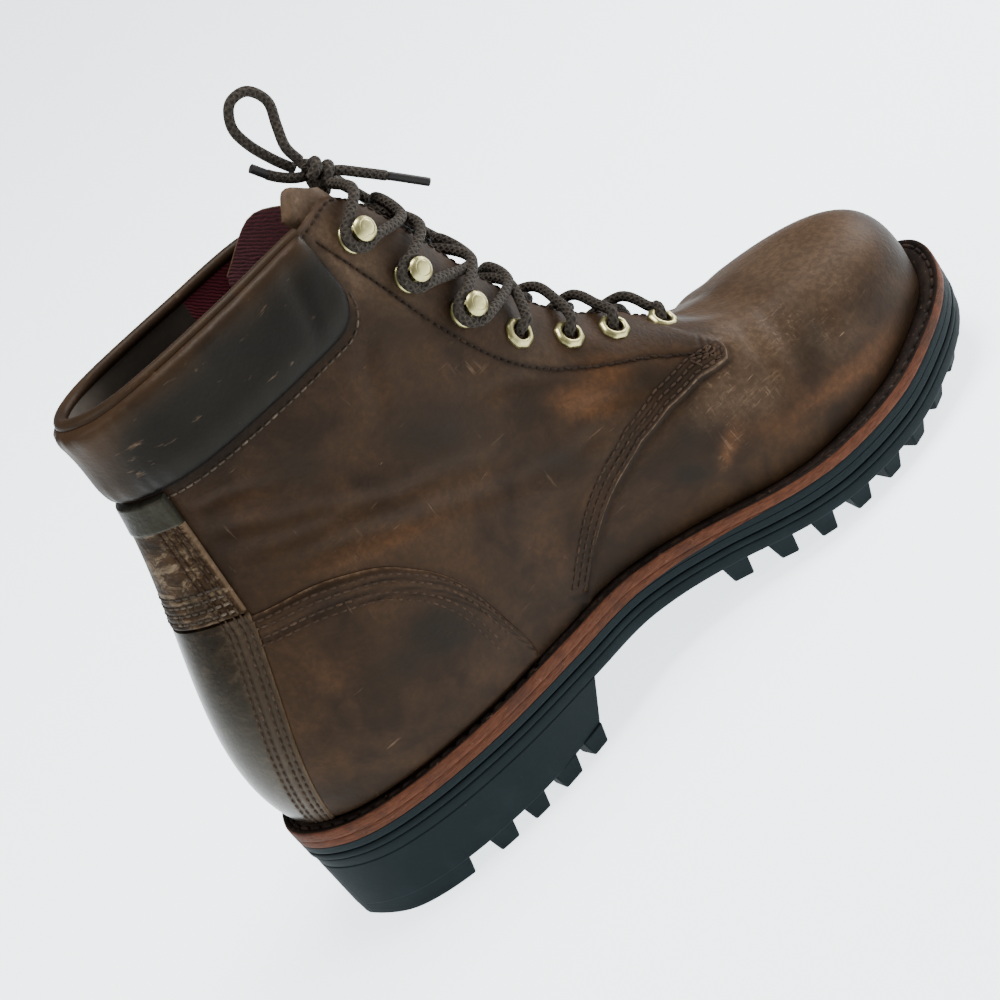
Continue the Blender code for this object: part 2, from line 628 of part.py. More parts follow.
def make_collar_pad(parts):
    """Padded collar piece from one side of the throat round the heel to the other, round at its lower corners."""
    run = np.linspace(-1, 1, 1 + round(2 * (HEEL_U - PAD_FRONT_U) * UPPER_STEPS))
    u = HEEL_U + (HEEL_U - PAD_FRONT_U) * run
    front = (1 - np.abs(run)) * (HEEL_U - PAD_FRONT_U) * PAD_SECTION
    inside = np.clip(1 - front / PAD_CORNER, 0, 1)
    bottom = PAD_BOTTOM_Z + PAD_CORNER * (1 - np.sqrt(1 - inside ** 2))
    rise = np.linspace(0, 1, PAD_ROWS)
    v = v_at_height(u, bottom)[:, None] * (1 - rise) + PAD_TOP_V * rise
    u = np.broadcast_to(u[:, None], v.shape)
    pillow = (1 - run[:, None] ** 12) * (1 - (2 * rise - 1) ** 4)
    weights = (PAD_RIM + (PAD_BULGE - PAD_RIM) * pillow) / PAD_BULGE
    overlay("collar_pad", parts, u, v, PAD_BULGE, DARK_LEATHER, weights)


def throat_middle(u, lift):
    """Point between the two edges of the throat beside section u, raised out of the boot."""
    medial, lateral = last(u, 1.0), last(SECTION_COUNT - u, 1.0)
    out = last_normal(u, 1.0) + last_normal(SECTION_COUNT - u, 1.0)
    return 0.5 * (medial + lateral) + lift * out / np.linalg.norm(out)


def make_tongue(parts):
    """Tongue: wings under the throat's edges and a sheet across between them."""
    def under(u, v):
        return last(u, v) - (TONGUE_SINK + TONGUE_THICK) * last_normal(u, v)

    def across(u):
        knots, medial_back, lateral_back = np.array(TONGUE_SPREAD).T
        back, far_back = np.interp(u, knots, medial_back), np.interp(u, knots, lateral_back)
        wing = TONGUE_WING / (1 + back)
        shares = (1.0, 0.5, 0.0)
        medial = [under(u + back * share, 1 - wing * share) for share in shares]
        lateral = [under(SECTION_COUNT - u - far_back * share, 1 - wing * share) for share in shares[::-1]]
        middle = [medial[-1] + (lateral[0] - medial[-1]) * t for t in (0.25, 0.5, 0.75)]
        return np.array(medial + middle + lateral)
    front = [under(u, v) for u, v in TONGUE_NOSE]
    front += [under(SECTION_COUNT - u, v) for u, v in TONGUE_NOSE[-2::-1]]
    rows = [np.array(front)] + [across(u) for u in TONGUE_SECTIONS]
    middle = len(TONGUE_TOP_LINE) // 2
    lean = rows[-1][middle] - rows[-2][middle]
    rise = TONGUE_TOP_RISE * np.array(TONGUE_TOP_LINE)[:, None]
    rows.append(rows[-1] + rise * lean / np.linalg.norm(lean))
    points = np.stack(rows)
    tongue = mesh_object("tongue", points.reshape(-1, 3), grid_faces(*points.shape[:2]))
    solidify(tongue, TONGUE_THICK)
    return finish(tongue, parts, LEATHER)


def turned(name, rings, closed):
    """Solid turned about its own z axis from points (radius, height), top to bottom outside."""
    mesh = bpy.data.meshes.new(name)
    points = [(radius * MM, 0.0, height * MM) for radius, height in rings]
    edges = [(i, i + 1) for i in range(len(points) - 1)]
    if closed:
        edges.append((len(points) - 1, 0))
    mesh.from_pydata(points, edges, [])
    obj = bpy.data.objects.new(name, mesh)
    screw = obj.modifiers.new("turn", "SCREW")
    screw.steps = TURNED_STEPS
    screw.render_steps = TURNED_STEPS
    screw.use_merge_vertices = True
    screw.merge_threshold = 0.00001
    screw.use_normal_calculate = True
    screw.use_normal_flip = True
    return obj


def set_on_upper(obj, u, v):
    """Stand an object on the upper's outer face, its z axis along the normal."""
    normal = Vector(last_normal(np.array(u), np.array(v)))
    place = Vector(metres(outside(np.array(u), np.array(v), OVERLAY_GAP)))
    obj.matrix_world = Matrix.Translation(place) @ normal.to_track_quat("Z", "Y").to_matrix().to_4x4()


def make_fasteners(parts):
    """Brass eyelets and lace hooks on both sides of the throat."""
    eyelet = ((EYELET_BORE, EYELET_HEIGHT), (EYELET_FLAT, EYELET_HEIGHT), (EYELET_RADIUS, 0.0), (EYELET_BORE, 0.0))
    head_low = HOOK_HEIGHT - HOOK_HEAD
    hook = ((0.0, HOOK_HEIGHT), (HOOK_FLAT, HOOK_HEIGHT - HOOK_ROUND), (HOOK_RADIUS, head_low + HOOK_ROUND),
            (HOOK_UNDER, head_low), (HOOK_NECK, head_low), (HOOK_NECK, HOOK_BASE),
            (HOOK_BASE_RADIUS, HOOK_BASE), (HOOK_BASE_RADIUS, 0.0), (0.0, 0.0))
    for level, place in enumerate(FASTENERS):
        u, v = place_near(*place)
        for side, section in (("medial", u), ("lateral", SECTION_COUNT - u)):
            if level < EYELET_COUNT:
                obj = turned(f"eyelet_{side}_{EYELET_COUNT - level}", eyelet, True)
            else:
                obj = turned(f"hook_{side}_{len(FASTENERS) - level}", hook, False)
            set_on_upper(obj, section, v)
            finish(obj, parts, BRASS)


def smooth_route(points, spacing):
    """Evenly spaced points on the open Catmull-Rom curve through a route's own points."""
    points = np.asarray(points, float)
    ends = np.concatenate((2 * points[:1] - points[1:2], points, 2 * points[-1:] - points[-2:-1]))
    t = np.arange(0, len(points) - 1, 0.05)
    first = t.astype(int)
    part = (t - first)[:, None]
    before, start, end, after = (ends[first + k] for k in range(4))
    square = 2 * before - 5 * start + 4 * end - after
    cube = 3 * (start - end) + after - before
    curve = 0.5 * (2 * start + (end - before) * part + square * part ** 2 + cube * part ** 3)
    curve = np.concatenate((curve, points[-1:]))
    lengths = np.concatenate(((0,), np.cumsum(np.linalg.norm(np.diff(curve, axis=0), axis=1))))
    stops = np.linspace(0, lengths[-1], max(2, round(lengths[-1] / spacing) + 1))
    return np.stack([np.interp(stops, lengths, curve[:, axis]) for axis in range(3)], 1)


def lace_tube(name, points, spacing):
    """Lace along a route: a bevelled curve with closed ends."""
    route = metres(smooth_route(points, spacing))
    curve = bpy.data.curves.new(name, "CURVE")
    curve.dimensions = "3D"
    curve.bevel_depth = LACE_RADIUS * MM
    curve.bevel_resolution = LACE_SIDES
    curve.use_fill_caps = True
    spline = curve.splines.new("POLY")
    spline.points.add(len(route) - 1)
    for point, place in zip(spline.points, route):
        point.co = (*place, 1.0)
    return bpy.data.objects.new(name, curve)


def as_mesh(curve_object, collection):
    """Closed mesh of a curve object, which it replaces."""
    collection.objects.link(curve_object)
    bpy.context.view_layer.update()
    evaluated = curve_object.evaluated_get(bpy.context.evaluated_depsgraph_get())
    mesh = bpy.data.meshes.new_from_object(evaluated)
    shape = bmesh.new()
    shape.from_mesh(mesh)
    bmesh.ops.remove_doubles(shape, verts=shape.verts, dist=0.00001)
    shape.to_mesh(mesh)
    shape.free()
    obj = bpy.data.objects.new(curve_object.name + "_solid", mesh)
    obj.matrix_world = curve_object.matrix_world
    bpy.data.objects.remove(curve_object)
    return obj


def on_side(u, lateral):
    """Section u of the medial side, or its partner across the boot."""
    return np.array(SECTION_COUNT - u if lateral else u)


def lace_anchor(level, lateral):
    """Where the lace turns at a fastener: over an eyelet, or under a hook's head on the throat's side."""
    place = np.array(FASTENERS[level])
    if level < EYELET_COUNT:
        lift = OVERLAY_GAP + EYELET_HEIGHT + LACE_CLEAR + LACE_RADIUS
    else:
        lift = OVERLAY_GAP + 0.5 * (HOOK_BASE + HOOK_HEIGHT - HOOK_HEAD)
        place = place + np.array(HOOK_FACING) * (HOOK_NECK + LACE_RADIUS + LACE_CLEAR)
    u, v = place_near(*place)
    return outside(on_side(u, lateral), np.array(v), lift)


def lace_start(level, lateral):
    """Where a run leaves a fastener, just beside the end of the run that came to it."""
    return lace_anchor(level, lateral) + np.array(LACE_TURN)


def lace_edge(u, lateral):
    """Where the lace passes over the throat's edge beside section u."""
    return outside(on_side(u, lateral), np.array(1.0), LACE_RADIUS + LACE_EDGE_CLEAR)


def lace_run(low, high, lateral):
    """Route of one lace from a fastener over the throat to another on the other side."""
    start_u, end_u = throat_u_beside(FASTENERS[low]), throat_u_beside(FASTENERS[high])
    near_u, middle_u, far_u = (start_u + (end_u - start_u) * t for t in (0.25, 0.5, 0.75))
    middle = throat_middle(np.array(middle_u), QUARTER_WALL + LACE_RADIUS + LACE_CLEAR)
    return np.array((lace_start(low, lateral), lace_edge(near_u, lateral), middle,
                     lace_edge(far_u, not lateral), lace_anchor(high, not lateral)))


def lace_to_knot(lateral):
    """Route of the lace from the top hook to the knot's side."""
    level = len(FASTENERS) - 1
    side = 1 if lateral else -1
    end = np.array(KNOT_PLACE) + np.array(KNOT_SIDE) * (1, side, 1)
    edge = lace_edge(throat_u_beside(FASTENERS[level]), lateral)
    return np.array((lace_start(level, lateral), edge, end))


def make_lacing(parts, tools):
    """Lace that crosses the throat, joined where its runs meet."""
    lacing = as_mesh(lace_tube("lace_bar", lace_run(0, 0, False), CROSSING_SPACING), tools)
    lacing.name = "lace_crossings"
    runs = []
    for side, lateral in (("medial", False), ("lateral", True)):
        routes = [lace_run(level, level + 1, lateral) for level in range(len(FASTENERS) - 1)]
        for level, route in enumerate(routes + [lace_to_knot(lateral)]):
            tube = lace_tube(f"lace_{side}_{level}", route, CROSSING_SPACING)
            runs.append(keep_as_tool(as_mesh(tube, tools), tools))
    join_with(lacing, runs)
    return finish(lacing, parts, LACE_BROWN)


def make_bow(parts, tools):
    """Knot with the short end joined to it, two loops and the long end of the lace."""
    mesh = bpy.data.meshes.new("lace_knot")
    shape = bmesh.new()
    bmesh.ops.create_uvsphere(shape, u_segments=12, v_segments=8, radius=1.0)
    bmesh.ops.scale(shape, vec=Vector(KNOT_SIZE) * MM, verts=shape.verts)
    shape.to_mesh(mesh)
    shape.free()
    knot = bpy.data.objects.new("lace_knot", mesh)
    knot.location = metres(KNOT_PLACE)
    end = as_mesh(lace_tube("lace_end_short", END_SHORT, BOW_SPACING), tools)
    join_with(knot, [keep_as_tool(end, tools)])
    finish(knot, parts, LACE_BROWN)
    for name, route in (("lace_loop_short", LOOP_SHORT), ("lace_loop_long", LOOP_LONG), ("lace_end_long", END_LONG)):
        finish(lace_tube(name, route, BOW_SPACING), parts, LACE_BROWN)


def main():
    """Clear the scene and build the boot."""
    for obj in list(bpy.data.objects):
        bpy.data.objects.remove(obj)
    parts = bpy.data.collections.new("work_boot")
    tools = bpy.data.collections.new("shaping_tools")
    for collection in (parts, tools):
        bpy.context.scene.collection.children.link(collection)
    make_outsole(parts, tools)
    make_midsole(parts)
    make_welt(parts)
    make_insole(parts)
    make_upper(parts)
    make_backstay(parts)
    for side, lateral in (("medial", False), ("lateral", True)):
        make_counter(parts, "counter_" + side, lateral)
    make_collar_pad(parts)
    make_tongue(parts)
    make_fasteners(parts)
    make_lacing(parts, tools)
    make_bow(parts, tools)


main()
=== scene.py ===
"""Looks of the work boot: leather, stitching, lacing, sole and the stage it stands on.

Lengths in the tables are millimetres, in the part's own directions: x from the heel to the
toe, y from the heel's middle to the outer (lateral) side, z up from the floor. A place on
the upper is (u, v): u counts the sections from the toe's tip along the inner (medial) side
to the heel's back and home along the lateral side, v rises from 0 at the welt to 1 at the
top line.
"""
import math

import bpy
import numpy as np
from mathutils import Color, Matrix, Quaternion, Vector


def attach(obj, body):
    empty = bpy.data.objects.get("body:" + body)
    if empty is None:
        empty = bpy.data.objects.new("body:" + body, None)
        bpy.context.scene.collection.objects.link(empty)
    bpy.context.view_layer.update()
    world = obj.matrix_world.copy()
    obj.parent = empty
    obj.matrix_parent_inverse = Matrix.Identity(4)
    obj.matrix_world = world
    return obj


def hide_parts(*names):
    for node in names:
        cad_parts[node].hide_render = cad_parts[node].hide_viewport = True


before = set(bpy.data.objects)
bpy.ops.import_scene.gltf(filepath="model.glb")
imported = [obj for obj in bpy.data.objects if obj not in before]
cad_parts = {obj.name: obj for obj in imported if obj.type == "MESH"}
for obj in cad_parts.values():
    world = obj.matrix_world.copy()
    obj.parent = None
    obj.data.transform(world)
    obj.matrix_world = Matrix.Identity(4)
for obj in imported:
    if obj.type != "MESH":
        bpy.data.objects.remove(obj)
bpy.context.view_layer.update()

bl_info = {
    "name": "Work boot",
    "version": (1, 0, 0),
    "blender": (4, 5, 0),
    "location": "3D View > Sidebar > Boot",
    "description": "Dresses a work boot's solids in leather, stitching, lace and rubber",
    "category": "Object",
}

MM = 0.001
FRAME_ORIGIN = np.array((147.5, -5.9, 0.0))

# Leather and sole: thicknesses, seats and gaps
VAMP_WALL = 2.0
QUARTER_WALL = 3.0
UPPER_SEAT = 0.8
WELT_THICK = 4.0
MIDSOLE_THICK = 6.2
OUTSOLE_THICK = 8.0
OUTSOLE_BAND = 2.6
OUTSOLE_STEP = 0.9
GAP = 0.3
INSOLE_RISE = 2.0
# Heel and tread blocks under the sole
HEEL_BREAST_X = 97.0
HEEL_BREAST_SLOPE = 8.0
HEEL_LUG_DEPTH = 7.0
HEEL_LUGS = ((80.8, 88.0), (64.8, 73.5), (49.0, 56.0), (32.8, 40.8))
HEEL_REAR_LUG_X = 21.0
HEEL_LUG_REACH = 14.0
FOREFOOT_LUG_X = 158.0
FOREFOOT_LUG_PITCH = 17.4
FOREFOOT_LUG_TIP = 6.8
FOREFOOT_LUG_REACH = 17.0
LUG_FLARE = 1.6
LUG_ROOT_INSET = 2.5
LUG_TIP_INSET = 6.0
HEEL_TAPER = 3.5
END_TAPER = 0.25
LUG_ROOT = 1.0
HEEL_BARS = (38.0, 60.0)
FOREFOOT_BARS = (182.0, 206.0, 230.0, 254.0)
BAR_WIDTH = 8.5
BAR_CLEAR = 7.0
# Tongue: thickness, depth under the throat, wings, rise of its top, and the tables of its outline
TONGUE_THICK = 2.6
TONGUE_SINK = 2.0
TONGUE_WING = 0.14
TONGUE_TOP_RISE = 19.0
TONGUE_SECTIONS = (1.4, 2.2, 3.0, 3.8, 4.6, 5.4, 6.2, 6.8)
TONGUE_SPREAD = ((5.4, 0.0, 0.0), (6.2, 0.3, 0.45), (6.8, 0.9, 1.5))
TONGUE_TOP_LINE = (0.85, 0.95, 1.0, 1.0, 1.0, 0.97, 0.9, 0.7, 0.4)
TONGUE_NOSE = ((1.0, 0.84), (0.75, 0.85), (0.5, 0.87), (0.25, 0.88), (0.0, 0.88))
# Collar pad: height of its lower edge, radius of its front corner, its front section, mm to a section,
# and its upper edge
PAD_BOTTOM_Z = 171.5
PAD_CORNER = 12.0
PAD_FRONT_U = 8.0
PAD_SECTION = 33.0
PAD_RIM_V = 0.996
# Seam across the heel's strip, and the medial eyelets and then hooks up the throat
SEAM_Z = 126.0
EYELET_COUNT = 4
FASTENERS = ((198.5, -21, 86.3), (182.5, -23, 100.3), (168, -24, 112.2), (152, -25, 127), (141.5, -26, 147),
             (134.5, -26, 169), (129, -26, 191.5))
# Heights over x of the welt's top and of the tread's tips
WELT_TOP = ((-10, 45.6), (50, 44.4), (100, 41.5), (140, 36.2), (180, 30), (210, 26.8), (240, 26.4),
            (270, 30.4), (305, 39))
TREAD = ((-10, 2.0), (2, 0), (100, 0), (150, 8), (160, 5.5), (175, 3), (190, 1), (200, 0), (230, 0), (245, 1.2),
         (262, 4.2), (282, 9), (306, 15))
# Sections from the toe's tip to the heel's back: the sole's edge on both sides, the welt's width, the
# top line, and the handles of the curve from the welt up to the top line
SECTION_COLUMNS = ("medial_x", "medial_y", "lateral_x", "lateral_y", "welt", "top_x", "top_half", "top_z", "fall",
                   "bulge", "rise", "reach", "drop")
SECTIONS = (
    (305, -17, 305, -17, 8.5, 209, 0, 82, 0, 7, 52, 41, 21),
    (298, -36, 298, 4, 8.5, 208.5, 4, 82.5, 2, 7, 49, 38, 20),
    (283, -49.5, 278, 26, 8.5, 207, 7.5, 84.5, 4, 7, 43, 31, 18),
    (256, -59, 249, 42, 8.5, 202, 10, 90, 6, 6.5, 33, 25, 14),
    (222, -63.5, 213, 51, 8, 190, 11, 101.5, 6, 6, 28, 22, 12),
    (190, -58, 181, 51, 7, 174, 11.5, 117, 5, 5, 28, 22, 15),
    (160, -43, 150, 46.5, 6, 158, 12.5, 146, 5, 5, 34, 21, 28),
    (130, -36, 120, 43, 5.5, 136.5, 14.5, 200, 5, 4, 42, 18, 45),
    (98, -41.5, 92, 42.5, 5.5, 114, 23, 205.5, 5, 4, 42, 7, 50),
    (60, -44.5, 58, 43.5, 5.5, 80, 26, 206, 5, 6, 36, 3, 55),
    (25, -38.5, 25, 38, 6, 47, 22.5, 205.5, 3, 9, 38, 0, 58),
    (1, -24.5, 1, 24.5, 7, 31, 14, 205, 1, 14, 42, -9, 58),
    (-10, 0, -10, 0, 8, 24, 0, 205, 0, 19, 44, -11, 58),
)
# Middle of the throat, the vamp's seam seen from the side, and the split of the upper's grid beyond it
THROAT_FOOT_X = 209.0
THROAT_HEAD_X = 136.0
THROAT_FOOT_Y = -5.0
VAMP_SEAM = ((208, 82), (206.5, 77), (203, 73), (190, 76), (175, 76), (160, 72.5), (145, 65.5), (131, 55), (118, 43))
SEAM_DEPTH = -45.0
SPLIT_TOE_V = 0.55
SPLIT_HEEL = ((9.5, 0.4), (12.0, 0.5))
SEAM_STEP_V = 0.012
# Half width of the heel's strip over v, and height of the counters' edge over u
BACKSTAY_WIDTH = ((0.0, 0.75), (0.25, 1.05), (0.5, 1.38), (0.8, 1.1), (1.0, 1.05))
COUNTER_TOP_Z = ((8.3, 52.0), (8.5, 80.0), (8.8, 97.0), (9.3, 111.0), (10.0, 120.0), (10.7, 122.5))
# Routes of the bow's loops and ends, and the knot
LOOP_SHORT = ((137, 2.3, 212.9), (133.5, 4.2, 220), (130, 4.5, 229), (129, 4, 237), (133, 3, 243.5), (140, 2.5, 243),
              (143.5, 2, 236), (140.5, 1, 228), (137.8, -1, 221.5), (138.8, -1.2, 215))
LOOP_LONG = (
    (144.8, 6.3, 203.7), (150, 11, 195), (156, 13, 182), (160.8, 13.6, 171), (164.6, 13.6, 161.9),
    (167.5, 13.7, 155.6), (169.4, 15.1, 151), (170.1, 18.7, 149.1), (169.5, 22.3, 151), (167.7, 23.7, 155.6),
    (165, 23.3, 161.9), (161.7, 22.3, 171), (157.5, 21, 182), (152, 18.5, 196), (147, 14.5, 206), (141.9, 8, 211),
)
END_SHORT = ((139.5, -0.3, 208.6), (134, -0.5, 211.6), (128.5, -0.5, 217), (124, -0.5, 224))
END_LONG = ((143.6, -1.2, 205.8), (147.1, -2.6, 204), (152, -4, 199), (160, -5, 190.5), (169, -6, 180.5))
KNOT_PLACE = (141.5, 0, 207)
KNOT_SIZE = (4.8, 6.5, 8)
# Length of the dark tips on the lace's short and long end
SHORT_TIP = 7
LONG_TIP = 17

# Distances of the stitch rows from the edge that they follow, and the strip's lap over the counters
VAMP_ROWS = (2.2, 4.9, 7.6)
COUNTER_ROWS = (1.8, 4.2, 7.6, 10.0)
STRIP_ROWS = (2.0, 4.2, 7.4, 9.6)
SEAM_ROWS = (1.6, 4.2, 6.8, 9.4)
STRIP_LAP_U = 0.07
# Line on the midsole's edge under which it is black: x, height over the midsole's top
BLACK_LINE = ((-10, -2.98), (110, -2.98), (150, -2.0), (190, 0.3), (310, 0.3))
# How far the lowest eyelets face the boot's sides more than the leather under them
EYELET_TILT = {0: 0.4, 1: 0.15}
# Fasteners turned from rings of radius and height; an eyelet's third value is how far a ring is eight-sided
EYELET = ((2.85, -1.2, 0), (2.85, 0.9, 0), (3.05, 1.35, 0), (3.5, 1.65, 0), (4.3, 1.65, 0.5), (5.1, 1.3, 1),
          (5.75, 0.6, 1), (5.85, 0.2, 1), (5.75, -1.0, 1), (3.2, -1.1, 0))
# Disc in an eyelet's hole, coloured near-black as painted shade
EYELET_PLUG = ((0.01, -0.9), (0.01, -0.4), (2.8, -0.4), (2.8, -0.9))
HOOK = ((0.01, 8.1), (1.5, 8.05), (2.3, 7.95), (2.6, 7.75), (2.9, 7.85), (3.7, 7.4), (4.2, 6.95), (4.3, 6.6),
        (4.1, 6.4), (3.5, 6.3), (2.2, 6.2), (1.95, 5.9), (1.95, 2.3), (2.3, 1.8), (3.2, 1.7), (3.8, 1.4), (3.95, 1.0),
        (4.15, 0.75), (4.4, 1.05), (4.9, 1.0), (5.3, 0.6), (5.4, -0.1), (0.01, -0.1))
# Lean of a hook's head to the throat for each mm over its foot
HOOK_LEAN = 0.32
HOOK_FOOT = 1.5
# Height of the two laces over the throat where they cross
LACE_OVER = 9.6
LACE_UNDER = 5.4

# Edge of the midsole from top to bottom, and the welt's corners from its groove to its underside: inset, height
# over the top; the welt's cut side starts at a corner's number
MIDSOLE_LAYERS = ((1.4, 0.2), (0.15, 0.2), (0.0, 0.05), (0.0, -1.2), (0.12, -2.9), (0.4, -3.05), (0.12, -3.2),
                  (0.1, -5.2), (0.3, -6.0), (0.8, -6.35), (1.4, -6.4))
WELT_CORNERS = ((4.4, 0.1), (3.9, -0.35), (3.1, -0.75), (2.3, -0.35), (1.8, 0.1), (0.8, 0.05), (0.2, -0.3),
                (-0.05, -1.0), (-0.05, -3.0), (-0.05, -3.95), (0.1, -4.1))
WELT_SIDE_CORNER = 8
# Leather laid on the upper: radius of its edge, thickness there, depth of its stitch rows, how far its back
# stands off, and where it starts over the welt
LEATHER_EDGE = 1.2
CUT_THICK = 0.25
ROW_DEPTH = 0.32
BACK_LIFT = 0.05
LEATHER_FOOT_V = 0.012
STRIP_THICK = 2.3
COUNTER_THICK = 1.7
COUNTER_FRONT_U, COUNTER_BACK_U = COUNTER_TOP_Z[0][0], COUNTER_TOP_Z[-1][0]
# Millimetres for a whole step of v at the heel's seam and at the top line
HEEL_RISE = 150.0
TOP_RISE = 130.0
# Share of the strip's upper length where its tab starts, and the section behind which the lining is leather
TAB_START = 0.745
KNIT_BACK_U = 9.0
# Collar pad: thickness at its seams, width of the painted shade under it, radius of the roll on its top
PAD_EDGE = 0.5
PAD_SHADE = 3.4
ROLL_RADIUS = 2.4
# Stitched box at the front end of the vamp seam: steps of u and v from its tip
SEAM_BOX = np.array(((0.06, 0.012), (0.3, 0.02), (0.3, 0.075), (0.06, 0.06), (0.06, 0.012)))
# Fineness of the meshes
PLATE_STEPS = 10
WELT_STEPS = 12
BEAD_SIDES = 6
BRASS_STEPS = 40
CORD_SIDES = 14

# Soft creases seen from the side: the two ends (x, z), the bow between them, width, depth
# and the side they are on (-1 medial, 1 lateral, 0 both)
CREASES = (
    (151, 71, 35, 131, 5.0, 4.5, 0.75, 0),
    (142, 88, 25, 144, 4.0, 4.0, 0.6, 0),
    (87, 116, 27, 154, 3.0, 3.5, 0.55, -1),
    (128, 101, 79, 123, 2.0, 3.0, 0.45, -1),
    (120, 96, 60, 118, 2.5, 3.2, 0.5, 1),
    (150, 110, 117, 129, 2.0, 3.5, 0.45, 0),
    (181, 79, 148, 97, 1.5, 4.0, 0.5, 0),
    (158, 84, 120, 92, -2.0, 4.5, 0.4, -1),
    (60, 150, 30, 163, 1.0, 2.6, 0.4, 0),
    (70, 141, 28, 150, 1.5, 2.8, 0.4, 1),
    (112, 168, 96, 140, 3.0, 5.0, 0.5, 0),
    (233, 76, 222, 48, 3.0, 5.0, 0.55, 0),
    (246, 72, 238, 44, 3.0, 5.0, 0.4, 0),
    (219, 75, 209, 55, 2.0, 4.0, 0.45, -1),
)
# Broad dents: place (x, z), half sizes along x and z, depth, side
DENTS = (
    (118, 108, 26, 22, 1.1, -1),
    (64, 140, 24, 16, 0.9, 0),
    (122, 72, 22, 10, 0.7, 0),
    (226, 66, 14, 14, 0.8, 0),
    (100, 160, 22, 14, 0.8, 1),
)
# Patches in the leather, seen from the side: place (x, z), half sizes along and across their lean
# in degrees, strength, side. Rubbed rust-brown ones, oily dark ones, pale ones and scratched ones
RUST = (
    (154, 97, 13, 6, -44, 1.0, -1), (169, 96, 10, 5, -44, 0.75, -1), (79, 109, 19, 5, -23, 0.45, -1),
    (57, 118, 14, 5, -23, 0.5, -1), (40, 156, 8, 8, 0, 0.15, -1), (49, 150, 12, 8, 0, 0.3, -1),
    (111, 68, 22, 8, -44, 0.25, -1), (183, 51, 8, 3, 44, 0.9, -1), (197, 47, 15, 6, -44, 0.45, -1),
    (230, 40, 21, 5, -14, 0.95, -1), (275, 67, 12, 8, 0, 0.45, 0), (139, 66, 14, 7, -44, 0.35, -1),
    (30, 93, 16, 10, 0, 0.3, -1), (150, 92, 15, 7, -30, 0.8, 1), (232, 46, 20, 6, -14, 0.8, 1),
    (90, 96, 22, 7, -30, 0.6, 1), (52, 74, 18, 9, 0, 0.4, 1), (100, 140, 16, 10, 20, 0.4, 1),
    (252, 39, 14, 6, 0, 0.6, -1),
)
DARK = (
    (106, 127, 25, 14, -44, 0.75, -1), (116, 162, 18, 10, -44, 0.55, -1), (137, 85, 16, 7, -44, 0.7, -1),
    (65, 152, 14, 10, -44, 0.6, 0), (66, 77, 12, 7, -44, 0.7, -1), (47, 79, 10, 7, 0, 0.4, -1),
    (179, 85, 12, 7, -44, 0.7, -1), (175, 63, 11, 9, 0, 0.65, -1), (170, 50, 10, 5, -30, 0.8, -1),
    (227, 56, 12, 8, 0, 0.7, -1), (236, 62, 8, 6, 0, 0.3, -1), (195, 78, 8, 5, 0, 0.4, -1),
    (118, 112, 22, 12, -40, 0.7, 1), (182, 58, 14, 9, 0, 0.8, 1), (80, 150, 18, 12, 0, 0.5, 1),
    (60, 84, 30, 20, 0, 0.42, 0),
)
PALE = (
    (226, 68, 20, 14, 0, 0.75, 0), (255, 66, 14, 9, 0, 0.65, 0), (241, 49, 12, 7, 0, 0.6, 0),
    (276, 66, 14, 9, 0, 0.8, 0), (212, 74, 10, 8, 0, 0.6, 0), (150, 118, 14, 9, -44, 0.55, 0),
    (251, 71, 12, 9, 0, 0.6, 0), (128, 170, 10, 22, 20, 0.6, 0), (119, 192, 12, 14, 0, 0.85, 0),
    (270, 46, 14, 8, 0, 0.4, 0), (191, 66, 14, 9, 0, 0.85, 0), (202, 56, 10, 7, 0, 0.5, 0),
)
SCUFFED = (
    (226, 68, 8, 7, 0, 1.0, 0), (255, 66, 7, 8, 0, 0.7, -1), (183, 51, 9, 3, 44, 0.8, -1),
    (130, 134, 9, 2.5, -44, 0.7, -1), (140, 152, 7, 7, 0, 0.5, -1), (60, 118, 12, 10, 0, 0.5, 0),
    (168, 96, 9, 6, 0, 0.35, 0), (205, 60, 12, 9, 0, 0.8, 0), (191, 66, 11, 9, 0, 0.9, 0), (240, 56, 12, 8, 0, 0.6, 0),
)
# Stitched line beside the throat, seen from the side
EYESTAY_LINE = ((117, 199), (124, 176), (131, 152), (140, 130), (150, 115), (163, 103), (185, 88), (200, 77))

# Camera: place, aim, roll in degrees and focal length
CAMERA_PLACE = (-127.4, -753.4, 437.6)
CAMERA_AIM = (122.5, 2.1, 75.3)
CAMERA_ROLL = 37.9
CAMERA_LENS = 90.0
# Lights: place in metres to the camera's right, up and back from its aim, power, width
LIGHTS = (("key", -0.5, 1.0, 0.45, 24.0, 0.5), ("fill", 0.95, 0.35, 0.6, 4.0, 1.0),
          ("rim", 0.5, 1.1, -0.3, 14.0, 0.5), ("low", -0.9, -0.1, 0.6, 6.0, 0.35))
LOWEST_LIGHT = 0.25
FLOOR_HALF = 6.0
FLOOR_GLOW = 2.6
FLOOR_GLOW_COLOUR = (0.87, 0.955, 1.0)
STUDIO_COLOUR = (0.93, 0.96, 1.0, 1.0)
STUDIO_STRENGTH = 0.3

COLUMN = {name: np.array([row[i] for row in SECTIONS], float) for i, name in enumerate(SECTION_COLUMNS)}
SECTION_COUNT = 2 * len(SECTIONS) - 2
HEEL_U = SECTION_COUNT / 2


